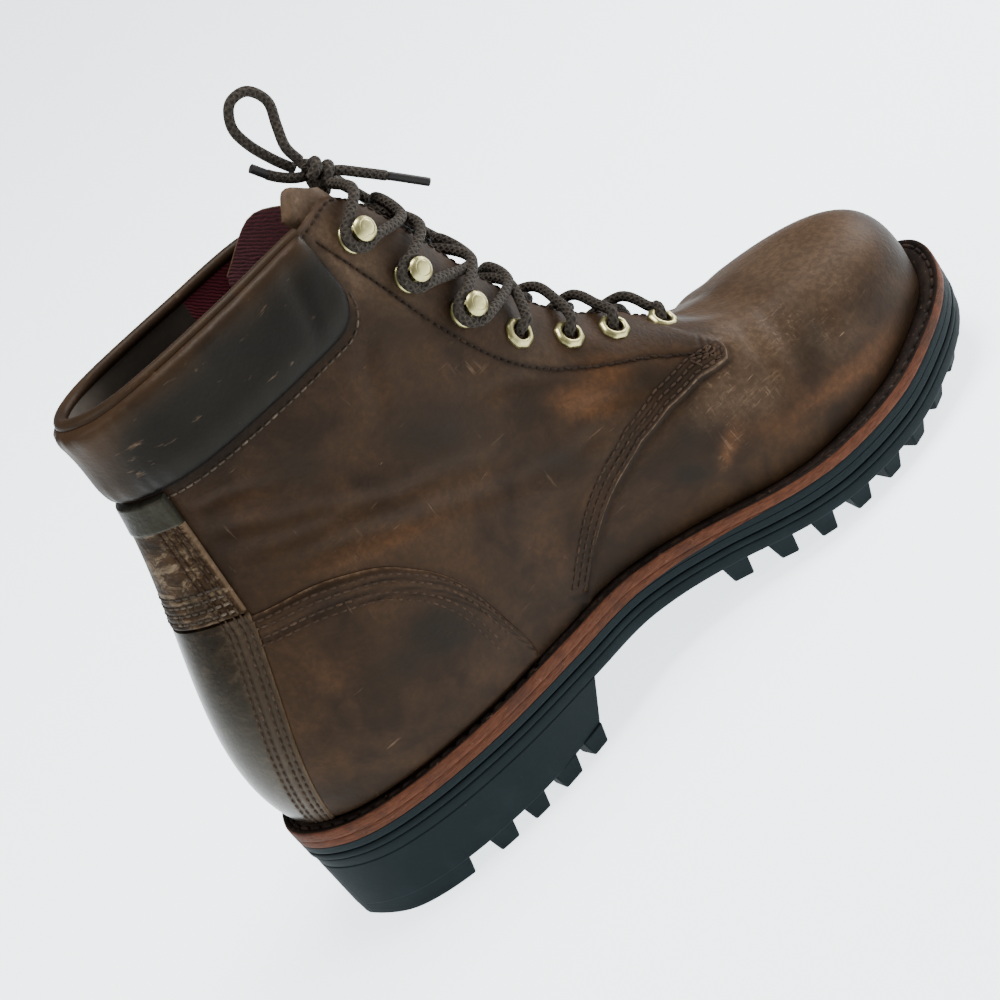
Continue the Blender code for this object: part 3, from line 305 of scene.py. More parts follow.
class BootSizes(bpy.types.PropertyGroup):
    """Sizes a maker would set."""
    stitch_length: bpy.props.FloatProperty(
        name="Stitch length", description="Length of one seam stitch", default=0.0026, unit="LENGTH")
    stitch_pitch: bpy.props.FloatProperty(
        name="Stitch pitch", description="From stitch to stitch", default=0.0032, unit="LENGTH")
    stitch_width: bpy.props.FloatProperty(
        name="Thread", description="Thickness of the thread", default=0.0009, unit="LENGTH")
    welt_pitch: bpy.props.FloatProperty(
        name="Welt pitch", description="From stitch to stitch on the welt", default=0.0056, unit="LENGTH")
    lace_diameter: bpy.props.FloatProperty(
        name="Lace", description="Thickness of the lace", default=0.0038, unit="LENGTH")
    crease_depth: bpy.props.FloatProperty(
        name="Creases", description="Depth of the creases against their table", default=1.3, subtype="FACTOR")
    pad_bulge: bpy.props.FloatProperty(
        name="Collar pad", description="Height of the pad over the upper", default=0.0048, unit="LENGTH")


def colour_property(name, description, default):
    """A colour that can be set in the sidebar."""
    return bpy.props.FloatVectorProperty(name=name, description=description, default=default, subtype="COLOR", size=3,
                                         min=0.0, max=1.0)


class BootColours(bpy.types.PropertyGroup):
    """Colours of the boot's materials."""
    brown: colour_property("Brown", "Leather between its light and dark places", (0.0355, 0.018, 0.0082))
    deep_brown: colour_property("Deep brown", "Leather where the oil has darkened it", (0.0148, 0.0082, 0.0042))
    rust: colour_property("Rust", "Leather where it is rubbed light", (0.1, 0.043, 0.0168))
    charcoal: colour_property("Charcoal", "Grey-green dark places in the leather", (0.0086, 0.007, 0.0047))
    pale: colour_property("Pale", "Leather with a dry film", (0.08, 0.05, 0.03))
    scratch: colour_property("Scratch", "Scratches and worn edges", (0.2, 0.13, 0.08))
    pad: colour_property("Collar pad", "Soft leather of the collar", (0.0055, 0.0048, 0.0042))
    tab: colour_property("Tab", "Smooth olive tab over the heel's strip", (0.023, 0.0215, 0.0155))
    knit: colour_property("Knit", "Lining of the tongue and the throat", (0.2, 0.036, 0.05))
    collar_lining: colour_property("Collar lining", "Leather inside the collar", (0.07, 0.057, 0.044))
    thread: colour_property("Thread", "Seam thread", (0.032, 0.0185, 0.011))
    pale_thread: colour_property("Pale thread", "Worn thread under the collar", (0.09, 0.068, 0.048))
    welt: colour_property("Welt", "Welt", (0.0105, 0.0065, 0.0047))
    midsole: colour_property("Midsole", "Red-brown edge", (0.074, 0.0262, 0.0138))
    rubber: colour_property("Rubber", "Outsole", (0.0055, 0.0085, 0.0095))
    insole: colour_property("Insole", "Insole", (0.2, 0.13, 0.075))
    brass: colour_property("Brass", "Eyelets and hooks", (0.39, 0.35, 0.16))
    lace: colour_property("Lace", "Dark strands of the lace", (0.027, 0.0215, 0.0165))
    lace_fleck: colour_property("Lace fleck", "Tan strands of the lace", (0.064, 0.05, 0.037))
    floor: colour_property("Floor", "Floor", (0.84, 0.87, 0.89))


def around(medial, lateral):
    """Values of the medial sections followed by the lateral ones, heel to toe."""
    return np.concatenate((medial, lateral[-2:0:-1]))


def unit(vectors):
    """Vectors of length 1 in the same directions."""
    return vectors / np.linalg.norm(vectors, axis=-1, keepdims=True)


def run_lengths(points):
    """Length along a line of points up to each of them."""
    return np.concatenate(((0,), np.cumsum(np.linalg.norm(np.diff(points, axis=0), axis=1))))


def at_lengths(points, lengths, stops):
    """Points of a line at given lengths along it."""
    return np.stack([np.interp(stops, lengths, points[:, axis]) for axis in range(3)], 1)


def catmull_rom(before, start, end, after, t):
    """Cubic from start to end at shares t of the way, its slope at each end half the step between its neighbours."""
    square = 2 * before - 5 * start + 4 * end - after
    cube = 3 * (start - end) + after - before
    return 0.5 * (2 * start + (end - before) * t + square * t ** 2 + cube * t ** 3)


def open_curve(points, t):
    """Open Catmull-Rom curve through points, or through rows of points, read at t counted in points."""
    ends = np.concatenate((2 * points[:1] - points[1:2], points, 2 * points[-1:] - points[-2:-1]))
    first = t.astype(int)
    part = (t - first).reshape((-1,) + (1,) * (points.ndim - 1))
    return catmull_rom(*(ends[first + k] for k in range(4)), part)


def blend(values, u):
    """Closed Catmull-Rom curve through one value or point per section, read at section u."""
    u = np.asarray(u, float)
    first = np.floor(u).astype(int)
    t = u - first
    if values.ndim > 1:
        t = t[..., None]
    return catmull_rom(*(values[(first + k) % len(values)] for k in (-1, 0, 1, 2)), t)


def profile(table, x):
    """Height at x of the cubic curve through the table's rows, level at its turns."""
    knots, heights = np.array(table, float).T
    rates = np.diff(heights) / np.diff(knots)
    before, after = rates[:-1], rates[1:]
    turns = before * after <= 0
    inner = np.where(turns, 0, 2 * before * after / np.where(turns, 1, before + after))
    slopes = np.concatenate((rates[:1], inner, rates[-1:]))
    i = np.clip(np.searchsorted(knots, x) - 1, 0, len(knots) - 2)
    width = knots[i + 1] - knots[i]
    t = np.clip((x - knots[i]) / width, 0, 1)
    rise = t * t * (3 - 2 * t)
    bend = width * (slopes[i] * (t - 2 * t ** 2 + t ** 3) + slopes[i + 1] * (t ** 3 - t ** 2))
    return heights[i] + (heights[i + 1] - heights[i]) * rise + bend


def smooth(t):
    """0 below 0, 1 above 1 and a soft step between."""
    t = np.clip(t, 0, 1)
    return t * t * (3 - 2 * t)


EDGE = np.stack((around(COLUMN["medial_x"], COLUMN["lateral_x"]), around(COLUMN["medial_y"], COLUMN["lateral_y"])), 1)
SIDE = around(-np.ones(len(SECTIONS)), np.ones(len(SECTIONS)))
SHARED = {name: around(COLUMN[name], COLUMN[name]) for name in SECTION_COLUMNS[4:]}
MIDDLE = np.interp(SHARED["top_x"], (THROAT_HEAD_X, THROAT_FOOT_X), (0, THROAT_FOOT_Y))
TOP_Z = SHARED["top_z"] - np.where(SIDE > 0, SHARED["fall"], 0)
TOP = np.stack((SHARED["top_x"], MIDDLE + SIDE * SHARED["top_half"], TOP_Z), 1)


def edge_normal(u):
    """Outward horizontal normal of the sole's edge: its run turned by a right angle."""
    step = 0.02
    run = blend(EDGE, u + step) - blend(EDGE, u - step)
    return unit(np.stack((-run[..., 1], run[..., 0]), -1))


def sole_ring(u, inset, height):
    """The sole's edge moved in along its normal, at a height over the welt's top."""
    flat = blend(EDGE, u) - np.broadcast_to(inset, np.shape(u))[..., None] * edge_normal(u)
    return np.concatenate((flat, (profile(WELT_TOP, flat[..., 0]) + height)[..., None]), -1)


def last(u, v):
    """Inside of the upper: a cubic Bezier curve up each section, from the welt to the top line."""
    u, v = np.broadcast_arrays(np.asarray(u, float), np.asarray(v, float))
    shape = {name: blend(values, u)[..., None] for name, values in SHARED.items()}
    out = np.concatenate((edge_normal(u), np.zeros(u.shape + (1,))), -1)
    up = np.array((0.0, 0.0, 1.0))
    foot = sole_ring(u, shape["welt"][..., 0] + VAMP_WALL, UPPER_SEAT)
    head = blend(TOP, u)
    low = foot + shape["bulge"] * out + shape["rise"] * up
    high = head + shape["reach"] * out - shape["drop"] * up
    v = v[..., None]
    return (1 - v) ** 3 * foot + 3 * v * (1 - v) ** 2 * low + 3 * v ** 2 * (1 - v) * high + v ** 3 * head


def last_normal(u, v):
    """Outward normal of the upper's inside, from differences along u and v."""
    step_u, step_v = 0.03, 0.004
    along = last(u + step_u, v) - last(u - step_u, v)
    rise = last(u, np.minimum(v + step_v, 1.0)) - last(u, np.maximum(v - step_v, 0.0))
    return unit(np.cross(rise, along))


def settle(u, v, target):
    """Place (u, v) of the inside's point nearest to a target: a few Gauss-Newton steps on both."""
    u, v, step_u, step_v = np.array(u, float), np.array(v, float), 0.01, 0.002
    for _ in range(8):
        place = last(u, v)
        along = (last(u + step_u, v) - place) / step_u
        rise = (last(u, v + step_v) - place) / step_v
        miss = target - place
        a, b, c = (along ** 2).sum(-1), (along * rise).sum(-1), (rise ** 2).sum(-1)
        g, h = (along * miss).sum(-1), (rise * miss).sum(-1)
        det = np.maximum(a * c - b * b, 1e-6)
        u = u + np.clip((c * g - b * h) / det, -0.4, 0.4)
        v = np.clip(v + np.clip((a * h - b * g) / det, -0.1, 0.1), 0, 1)
    return u, v


def place_near(x, y, z):
    """Medial place (u, v) nearest to a point: a coarse search, then settled."""
    u = np.linspace(0.2, HEEL_U, 60)[:, None]
    v = np.linspace(0, 1, 41)[None]
    miss = np.linalg.norm(last(u, v) - np.array((x, y, z)), axis=-1)
    row, column = np.unravel_index(miss.argmin(), miss.shape)
    return settle(u[row, 0], v[0, column], np.array((x, y, z), float))


def on_side(u, lateral):
    """Medial section u, or its counterpart on the lateral side."""
    return SECTION_COUNT - u if lateral else u


def near_side(u):
    """Section u counted on the medial side, whichever side it is on."""
    return HEEL_U - np.abs(np.asarray(u) - HEEL_U)


SEAM_PLACES = np.array([place_near(x, SEAM_DEPTH, z) for x, z in VAMP_SEAM])
SPLIT_LINE = np.concatenate((((0.0, SPLIT_TOE_V),), SEAM_PLACES, SPLIT_HEEL))


def seam_v(u):
    """Height of the vamp seam, or of the grid's split where there is no seam."""
    return np.interp(near_side(u), *SPLIT_LINE.T)


def wall(u, v):
    """Thickness of the leather: soft steps from the vamp up to the quarter that lies over it."""
    near = near_side(u)
    behind = smooth((near - SEAM_PLACES[-1, 0]) / 0.05 + 0.5)
    ahead = smooth((near - SEAM_PLACES[0, 0]) / 0.1 + 0.5)
    over = ahead * smooth((v - seam_v(u)) / SEAM_STEP_V)
    return VAMP_WALL + (QUARTER_WALL - VAMP_WALL) * np.maximum(behind, over)


def outside(u, v, lift):
    """Point at a distance lift over the upper's outer face."""
    u, v = np.broadcast_arrays(np.asarray(u, float), np.asarray(v, float))
    return last(u, v) + (wall(u, v) + lift)[..., None] * last_normal(u, v)


def v_at_height(u, z):
    """Height v at which section u reaches z on the upper's inside."""
    v = np.linspace(0, 1, 201)
    return np.array([np.interp(level, last(section, v)[:, 2], v)
                     for section, level in zip(*np.broadcast_arrays(np.atleast_1d(u), z))])


def side_places(points, lateral):
    """Places (u, v) of a smooth line through side-view points (x, z) on one side of the upper."""
    line = smooth_route(np.array([(x, 0.0, z) for x, z in points], float), 1.5)
    u = on_side(np.linspace(0.3, HEEL_U - 0.5, 120)[:, None], lateral)
    v = np.linspace(0.05, 1, 60)[None]
    grid = last(u, v)
    flat = grid.reshape(-1, 3)[:, (0, 2)]
    pick = np.array([((flat - point[[0, 2]]) ** 2).sum(1).argmin() for point in line])
    row, column = np.unravel_index(pick, grid.shape[:2])
    start_u = u[row, 0]
    target = line.copy()
    for _ in range(3):
        target[:, 1] = last(start_u, v[0, column])[:, 1]
        start_u, heights = settle(start_u, v[0, column], target)
    return start_u, heights


def side_view(u, v):
    """x and z of places on the upper, and a test which of them are on a table's side (-1, 1, or 0 for both)."""
    place, side = last(u, v), np.where(u > HEEL_U, 1, -1)
    return place[..., 0], place[..., 2], lambda wanted: (side == wanted) | (wanted == 0)


def relief(u, v):
    """Rise of the leather over its smooth form: hand-placed creases and dents.

    A crease is a trough with a ridge on either side, (1 - 1.2 d^2) exp(-d^2) across its
    width, faded at both ends; a dent is a wide bell.
    """
    x, z, shown = side_view(u, v)
    depth = sizes().crease_depth
    height = np.zeros(x.shape)
    for x0, z0, x1, z1, bow, width, deep, side in CREASES:
        length = math.hypot(x1 - x0, z1 - z0)
        t = ((x - x0) * (x1 - x0) + (z - z0) * (z1 - z0)) / length ** 2
        across = ((x - x0) * (z1 - z0) - (z - z0) * (x1 - x0)) / length
        wave = 0.6 * np.sin(9.0 * t + x0) + 0.35 * np.sin(23.0 * t + z0)
        d = (across - 4 * bow * t * (1 - t) - wave) / width
        shape = (1 - 1.2 * d ** 2) * np.exp(-d ** 2) * smooth(t / 0.25) * smooth((1 - t) / 0.25)
        height -= deep * depth * shape * shown(side)
    for x0, z0, half_x, half_z, deep, side in DENTS:
        bell = np.exp(-((x - x0) / half_x) ** 2 - ((z - z0) / half_z) ** 2)
        height -= deep * bell * shown(side)
    return height * smooth(v / 0.06) * smooth((1 - v) / 0.05)


def patches(table, u, v):
    """Strength of a table's patches: the sum of leaning bells at its rows."""
    x, z, shown = side_view(u, v)
    total = np.zeros(x.shape)
    for x0, z0, half_along, half_across, lean, strength, side in table:
        run, rise = math.cos(math.radians(lean)), math.sin(math.radians(lean))
        along, across = (x - x0) * run + (z - z0) * rise, (z - z0) * run - (x - x0) * rise
        bell = np.exp(-(along / half_along) ** 2 - (across / half_across) ** 2)
        total += strength * bell * shown(side)
    return np.clip(total, 0, 1)


def metres(points):
    """Table millimetres as metres round the boot's own origin."""
    return (np.asarray(points, float) - FRAME_ORIGIN) * MM


def grid_quads(rows, columns, round_rows=False, round_columns=False):
    """Corner numbers of the quads of a grid stored row by row, which may close on itself; (u, v) grids face out."""
    i, j = np.meshgrid(np.arange(rows if round_rows else rows - 1),
                       np.arange(columns if round_columns else columns - 1), indexing="ij")
    here, below, beside = i * columns, (i + 1) % rows * columns, (j + 1) % columns
    return np.stack((here + j, here + beside, below + beside, below + j), -1).reshape(-1, 4)


def shell_quads(rows, columns, closed):
    """Quads of a closed shell: the outer grid, the inner grid after it, and the rims between them."""
    count = rows * columns
    outer = grid_quads(rows, columns, closed)
    i = np.arange(rows if closed else rows - 1)
    here, after = i * columns, (i + 1) % rows * columns
    foot = np.stack((here, after, after + count, here + count), 1)
    top = columns - 1
    head = np.stack((after + top, here + top, here + top + count, after + top + count), 1)
    parts = [outer, outer[:, ::-1] + count, foot, head]
    if not closed:
        j = np.arange(columns - 1)
        end = (rows - 1) * columns + j
        parts.append(np.stack((j + 1, j, j + count, j + 1 + count), 1))
        parts.append(np.stack((end, end + 1, end + 1 + count, end + count), 1))
    return np.concatenate(parts)


def new_piece(name, points, faces, materials, nodes=(), uv=None, values=None, sharp=50.0, kinds=None):
    """A piece of the boot from millimetre points and faces, smooth but for edges over an angle."""
    mesh = bpy.data.meshes.new(name)
    points = metres(points).reshape(-1, 3)
    sizes = np.concatenate([np.full(len(block), block.shape[1]) for block in faces])
    corners = np.concatenate([block.ravel() for block in faces]).astype(np.int32)
    mesh.vertices.add(len(points))
    mesh.vertices.foreach_set("co", points.ravel())
    mesh.loops.add(len(corners))
    mesh.loops.foreach_set("vertex_index", corners)
    mesh.polygons.add(len(sizes))
    mesh.polygons.foreach_set("loop_start", np.concatenate(((0,), np.cumsum(sizes)[:-1])).astype(np.int32))
    if kinds is not None:
        mesh.polygons.foreach_set("material_index", np.asarray(kinds, np.int32))
    mesh.update(calc_edges=True)
    if mesh.validate():
        raise RuntimeError(name + " has faces that don't fit together")
    if uv is not None:
        mesh.uv_layers.new(name="UVMap").uv.foreach_set("vector", np.asarray(uv, float).reshape(-1, 2)[corners].ravel())
    for key, data in (values or {}).items():
        mesh.attributes.new(key, "FLOAT", "POINT").data.foreach_set("value", np.asarray(data, float).ravel())
    mesh.shade_smooth()
    mesh.set_sharp_from_angle(angle=math.radians(sharp))
    for material in materials:
        mesh.materials.append(material)
    piece = bpy.data.objects.new(name, mesh)
    bpy.context.scene.collection.objects.link(piece)
    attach(piece, "root")
    if nodes:
        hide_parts(*nodes)
    return piece


def new_shell(name, outer, inner, materials, node, values, closed=False):
    """A closed shell from an outer and an inner grid with values on both; a second material covers the inner one."""
    rows, columns = outer.shape[:2]
    quads = shell_quads(rows, columns, closed)
    count = (rows if closed else rows - 1) * (columns - 1)
    kinds = np.zeros(len(quads), int)
    kinds[count:2 * count] = len(materials) - 1
    points = np.concatenate((outer.reshape(-1, 3), inner.reshape(-1, 3)))
    data = {key: np.concatenate((value.ravel(), value.ravel())) for key, value in values.items()}
    return new_piece(name, points, [quads], materials, (node,), values=data, kinds=kinds)


def smooth_route(points, spacing):
    """Evenly spaced points on the open Catmull-Rom curve through a route's own points."""
    points = np.asarray(points, float)
    curve = np.concatenate((open_curve(points, np.arange(0, len(points) - 1, 0.05)), points[-1:]))
    lengths = run_lengths(curve)
    return at_lengths(curve, lengths, np.linspace(0, lengths[-1], max(2, round(lengths[-1] / spacing) + 1)))


class Value:
    """A shader socket whose sums and products add Math nodes."""

    def __init__(self, paint, socket):
        self.paint = paint
        self.socket = socket

    def math(self, operation, *others):
        """This value and others through a Math node."""
        inputs = {i: value for i, value in enumerate((self, *others))}
        return self.paint.node("ShaderNodeMath", {"operation": operation}, inputs)

    def __add__(self, other):
        return self.math("ADD", other)

    def __sub__(self, other):
        return self.math("SUBTRACT", other)

    def __mul__(self, other):
        return self.math("MULTIPLY", other)

    def __rsub__(self, other):
        return self.paint.node("ShaderNodeMath", {"operation": "SUBTRACT"}, {0: other, 1: self})

    __radd__ = __add__

    def step(self, low, high):
        """Soft step from 0 at low to 1 at high."""
        return self.paint.node("ShaderNodeMapRange", {"interpolation_type": "SMOOTHSTEP"},
                               {"Value": self, "From Min": low, "From Max": high})


class Paint:
    """A procedural material: nodes made one by one and led to its Principled shader."""

    def __init__(self, name):
        self.material = bpy.data.materials.new(name)
        self.material.use_nodes = True
        self.tree = self.material.node_tree
        self.shader = self.tree.nodes["Principled BSDF"]

    def node(self, kind, settings=None, inputs=None, output=0):
        """Add a node: its type, its settings, and the values or links of its sockets."""
        node = self.tree.nodes.new(kind)
        for key, value in (settings or {}).items():
            setattr(node, key, value)
        for key, value in (inputs or {}).items():
            self.feed(node.inputs[key], value)
        return Value(self, node.outputs[output])

    def feed(self, socket, value):
        """Set a socket, or link another one to it."""
        if isinstance(value, Value):
            self.tree.links.new(value.socket, socket)
        elif hasattr(value, "__len__") and socket.type == "RGBA":
            socket.default_value = (*value[:3], 1.0)
        else:
            socket.default_value = value

    def place(self, stretch=(1, 1, 1), turn=(0, 0, 0)):
        """Object coordinates in metres, turned and stretched."""
        coords = self.node("ShaderNodeTexCoord", output=3)
        return self.node("ShaderNodeMapping", {}, {"Vector": coords, "Rotation": turn, "Scale": stretch})

    def uv(self, stretch=(1, 1, 1)):
        """The piece's own UV map, stretched."""
        coords = self.node("ShaderNodeUVMap", {"uv_map": "UVMap"})
        return self.node("ShaderNodeMapping", {}, {"Vector": coords, "Scale": stretch})

    def noise(self, scale, detail=3.0, rough=0.55, distortion=0.0, at=None):
        """Cloudy noise in object coordinates, or at others."""
        return self.node("ShaderNodeTexNoise", {}, {"Vector": at or self.place(), "Scale": scale, "Detail": detail,
                                                   "Roughness": rough, "Distortion": distortion})

    def streaks(self, stretch, turn, distortion):
        """Noise drawn out into streaks across the stretched axes."""
        return self.noise(1.0, 3.0, 0.6, distortion, self.place(stretch, turn))

    def cells(self, scale):
        """Soft rounded cells, as of leather grain."""
        return self.node("ShaderNodeTexVoronoi", {"feature": "SMOOTH_F1"}, {"Vector": self.place(), "Scale": scale})

    def attribute(self, name):
        """A value stored on the piece's points."""
        return self.node("ShaderNodeAttribute", {"attribute_name": name}, output=2)

    def mix(self, factor, first, second):
        """Colour between two colours."""
        return self.node("ShaderNodeMix", {"data_type": "RGBA"}, {0: factor, 6: first, 7: second}, 2)

    def finish(self, colour, roughness, height=None, distance=0.0004, strength=0.5, **constant):
        """Lead colour, roughness and relief to the shader and set its constant sockets."""
        self.feed(self.shader.inputs["Base Color"], colour)
        self.feed(self.shader.inputs["Roughness"], roughness)
        if height is not None:
            bump = self.node("ShaderNodeBump", {}, {"Strength": strength, "Distance": distance, "Height": height})
            self.feed(self.shader.inputs["Normal"], bump)
        for key, value in constant.items():
            self.feed(self.shader.inputs[key.replace("_", " ")], value)
        return self.material


def colours():
    """The boot's colours as they are set."""
    return bpy.context.scene.boot_colours


def sizes():
    """The boot's sizes as they are set, in metres."""
    return bpy.context.scene.boot_sizes


def leather(name):
    """Oiled brown leather: cloudy colour, rubbed and dark places, fine scratches and grain."""
    c, p = colours(), Paint(name)
    cloud = p.noise(26.0, 4.0, 0.55, 0.8)
    drift = p.noise(70.0, 5.0, 0.6, 1.2)
    fine = p.noise(420.0, 5.0, 0.65)
    colour = p.mix((cloud * 0.65 + drift * 0.35).step(0.36, 0.66), c.deep_brown, c.brown)
    rust_noise = p.noise(48.0, 5.0, 0.6, 1.5)
    rubbed = (cloud * 0.35 + rust_noise * 0.65).step(0.5, 0.74)
    rubbed = (p.attribute("rust") * (rust_noise * 1.1 + 0.25) + rubbed * 0.2).step(0.05, 0.95)
    colour = p.mix(rubbed * 0.7, colour, c.rust)
    murk = (p.attribute("dark") * (drift * 1.2 + 0.2)).step(0.1, 0.75)
    colour = p.mix(murk * 0.8, colour, c.charcoal)
    colour = p.mix((p.attribute("pale") * (cloud * 0.8 + 0.5)).step(0.05, 1.0) * 0.8, colour, c.pale)
    field = p.noise(38.0, 2.0)
    level = p.streaks((60, 60, 520), (0.3, 0.5, 0.2), 0.4).step(0.66, 0.76) * field.step(0.48, 0.66)
    steep = p.streaks((420, 50, 60), (0.2, 0.7, 0.9), 0.4).step(0.67, 0.77) * field.step(0.52, 0.36)
    scratch = level + steep
    colour = p.mix(scratch * 0.32, colour, c.scratch)
    colour = p.mix(fine.step(0.62, 0.4) * 0.35, colour, c.deep_brown)
    line = p.streaks((900, 900, 60), (0.12, 0.1, 0.0), 0.5).step(0.57, 0.67)
    cross = p.streaks((70, 800, 900), (0.1, 0.3, 0.5), 0.5).step(0.57, 0.67)
    scuffed = p.attribute("scuffed").step(0.05, 0.9) * drift.step(0.35, 0.6)
    colour = p.mix(line.math("MAXIMUM", cross) * scuffed * 0.36, colour, 0.85 * c.scratch)
    worn = (p.attribute("wear") * (fine * 1.6)).step(0.3, 0.9)
    colour = p.mix(worn * 0.55, colour, c.scratch)
    # Sunk stitch rows, the eyestay line and the crevices under the quarter's edge and the collar pad: darkened as
    # painted shade
    colour = p.mix(p.attribute("groove") * 0.7, colour, 0.4 * c.deep_brown)
    nick = p.noise(1.0, 2.0, 0.5, 0.2, p.place((45, 45, 900), (0.9, 0.2, 0.4))).step(0.74, 0.79)
    nick = nick * p.noise(95.0, 1.0).step(0.6, 0.68)
    colour = p.mix(nick * 0.7, colour, 1.5 * c.scratch)
    creep = p.noise(180.0, 4.0, 0.6, 2.0)
    height = p.cells(760.0) * 0.35 + fine * 0.5 + creep * 0.55 - scratch * 0.3 - nick * 0.5
    rough = 0.36 + fine * 0.14 + p.noise(31.0, 2.0) * 0.2
    return p.finish(colour, rough, height, 0.00055, 0.42, Specular_IOR_Level=0.075)


def pad_leather(name):
    """Soft, nearly black leather: fine grain, brown at worn edges, a few pale marks."""
    c, p = colours(), Paint(name)
    cloud, fine = p.noise(34.0, 4.0, 0.6, 0.8), p.noise(520.0, 5.0, 0.6)
    colour = p.mix(cloud.step(0.4, 0.75) * 0.55, c.pad, c.charcoal)
    colour = p.mix((p.attribute("edge") * (cloud * 0.9 + 0.4)).step(0.2, 0.95) * 0.8, colour, c.brown)
    # Darker at the pad's pulled-in seams: painted shade in the crevices there
    colour = p.mix(p.attribute("groove") * 0.8, colour, 0.3 * c.pad)
    mark = p.streaks((90, 90, 420), (0.4, 0.3, 0.1), 0.3).step(0.64, 0.75)
    colour = p.mix(mark * cloud.step(0.45, 0.6) * 0.35, colour, c.scratch)
    height = p.cells(900.0) * 0.4 + fine * 0.4 + p.noise(150.0, 4.0, 0.6, 1.5) * 0.5
    return p.finish(colour, 0.34 + fine * 0.12 + cloud * 0.16, height, 0.0004, 0.35, Specular_IOR_Level=0.09,
                    Specular_Tint=(1.0, 0.93, 0.8))


def strip_leather(name, rough_share):
    """Leather of the heel's strip: scuffed rough with tan scratches, or smooth and dark."""
    c, p = colours(), Paint(name)
    cloud, fine = p.noise(60.0, 5.0, 0.65, 1.0), p.noise(480.0, 5.0, 0.65)
    light = c.brown if rough_share > 0.5 else c.deep_brown
    dim = 0.7 if rough_share > 0.5 else 0.4
    colour = p.mix(cloud.step(0.35, 0.7), dim * c.deep_brown, (0.3 + dim) * light)
    tab = p.attribute("tab").step(0.35, 0.65)
    flow = p.noise(1.0, 4.0, 0.7, 0.6, p.place((150, 150, 330), (0.5, 0.2, 0.3)))
    bare = 1 - tab
    border = p.attribute("border") * bare
    colour = p.mix(border * (cloud * 0.5 + 0.4), colour, 0.75 * c.brown)
    scuff = (flow.step(0.44, 0.66) * cloud.step(0.36, 0.58)) * rough_share
    colour = p.mix(scuff * 0.62, colour, (0.18, 0.132, 0.082))
    worn = (p.attribute("wear") * (fine * 1.2 + 0.5)).step(0.2, 0.9)
    colour = p.mix(worn * 0.4, colour, c.scratch)
    # Darker in the stitch rows and along the seam across the strip: painted shade
    colour = p.mix(p.attribute("groove") * 0.7, colour, 0.4 * c.deep_brown)
    colour = p.mix(tab, colour, p.mix(cloud.step(0.3, 0.7), c.charcoal, c.tab))
    height = fine * 0.5 + flow * bare * (1.4 * rough_share) + p.cells(700.0) * 0.3
    rough = 0.2 + tab * 0.13 + border * 0.22 + bare * (0.3 * rough_share) + fine * 0.1
    return p.finish(colour, rough, height, 0.0006, 0.12 + 0.38 * rough_share,
                    Specular_IOR_Level=0.22 - 0.14 * rough_share, Specular_Tint=(1.0, 0.91, 0.7))


def ribs(p):
    """Ribs of a knit, slanting, a little wavy."""
    return p.node("ShaderNodeTexWave", {"wave_type": "BANDS", "bands_direction": "DIAGONAL"},
                  {"Vector": p.place(), "Scale": 420.0, "Distortion": 3.0, "Detail": 2.0}, 1)


def lining(name):
    """Inside of the upper: smooth brown leather at the collar, a maroon knit towards the throat."""
    c, p = colours(), Paint(name)
    fine = p.noise(420.0, 4.0)
    knit = p.attribute("knit").step(0.4, 0.6)
    rib = ribs(p)
    hide = p.mix(p.noise(40.0, 4.0).step(0.35, 0.7), 0.6 * c.collar_lining, c.collar_lining)
    # Knit ribs darker in their troughs: painted shade
    yarn = p.mix(rib, 0.4 * c.knit, c.knit)
    height = rib * knit * 0.9 + fine * 0.3
    return p.finish(p.mix(knit, hide, yarn), 0.55 + knit * 0.35, height, 0.0005, 0.6, Specular_IOR_Level=0.2)


def knit_cloth(name):
    """Maroon knitted lining: ribs with paler fibres."""
    c, p = colours(), Paint(name)
    rib, fleck = ribs(p), p.noise(500.0, 3.0)
    # Darker in the troughs between the ribs: painted shade
    colour = p.mix(rib, 0.35 * c.knit, 0.8 * c.knit)
    colour = p.mix(fleck.step(0.5, 0.75) * 0.25, colour, 1.5 * c.knit)
    return p.finish(colour, 0.92, rib, 0.0006, 0.7, Sheen_Weight=0.2)


def thread(name, colour, pale, low=0.8):
    """Waxed thread: twisted, worn lighter in places."""
    p = Paint(name)
    shade = p.mix(p.noise(160.0, 4.0).step(0.45, 0.75), low * colour, pale)
    twist = p.noise(1500.0, 2.0)
    return p.finish(shade, 0.7, twist, 0.0002, 0.5, Specular_IOR_Level=0.1)


def red_fibres(p):
    """Colour and relief of pressed red-brown leather cut through: fine level fibres and stains."""
    c = colours()
    fibre = p.noise(1.0, 5.0, 0.65, 0.3, p.place((240, 240, 1500)))
    cloud, fine = p.noise(55.0, 4.0), p.noise(700.0, 4.0)
    colour = p.mix(fibre.step(0.3, 0.7), 0.6 * c.midsole, 1.2 * c.midsole)
    colour = p.mix(cloud.step(0.5, 0.75) * 0.6, colour, 2.0 * c.welt)
    return p.mix(fine.step(0.62, 0.76) * 0.25, colour, c.scratch), fibre + fine * 0.4


def welt_leather(name):
    """Welt: dark and dusty on top, red-brown at its cut side."""
    c, p = colours(), Paint(name)
    cloud, fine = p.noise(80.0, 5.0, 0.6), p.noise(600.0, 4.0)
    colour = p.mix(cloud.step(0.35, 0.72), 0.6 * c.welt, 1.5 * c.welt)
    colour = p.mix(fine.step(0.6, 0.75) * 0.3, colour, c.scratch)
    colour = p.mix(p.attribute("side").step(0.4, 0.6), colour, red_fibres(p)[0])
    return p.finish(colour, 0.55 + fine * 0.2, fine + cloud * 0.5, 0.0005, 0.5, Specular_IOR_Level=0.06)


def midsole_edge(name):
    """Edge of the midsole: red-brown leather over a black rubber layer."""
    c, p = colours(), Paint(name)
    colour, height = red_fibres(p)
    colour = p.mix(p.attribute("black").step(0.4, 0.6), colour, 1.2 * c.rubber)
    return p.finish(colour, 0.6 + height * 0.1, height, 0.0005, 0.5, Specular_IOR_Level=0.06)


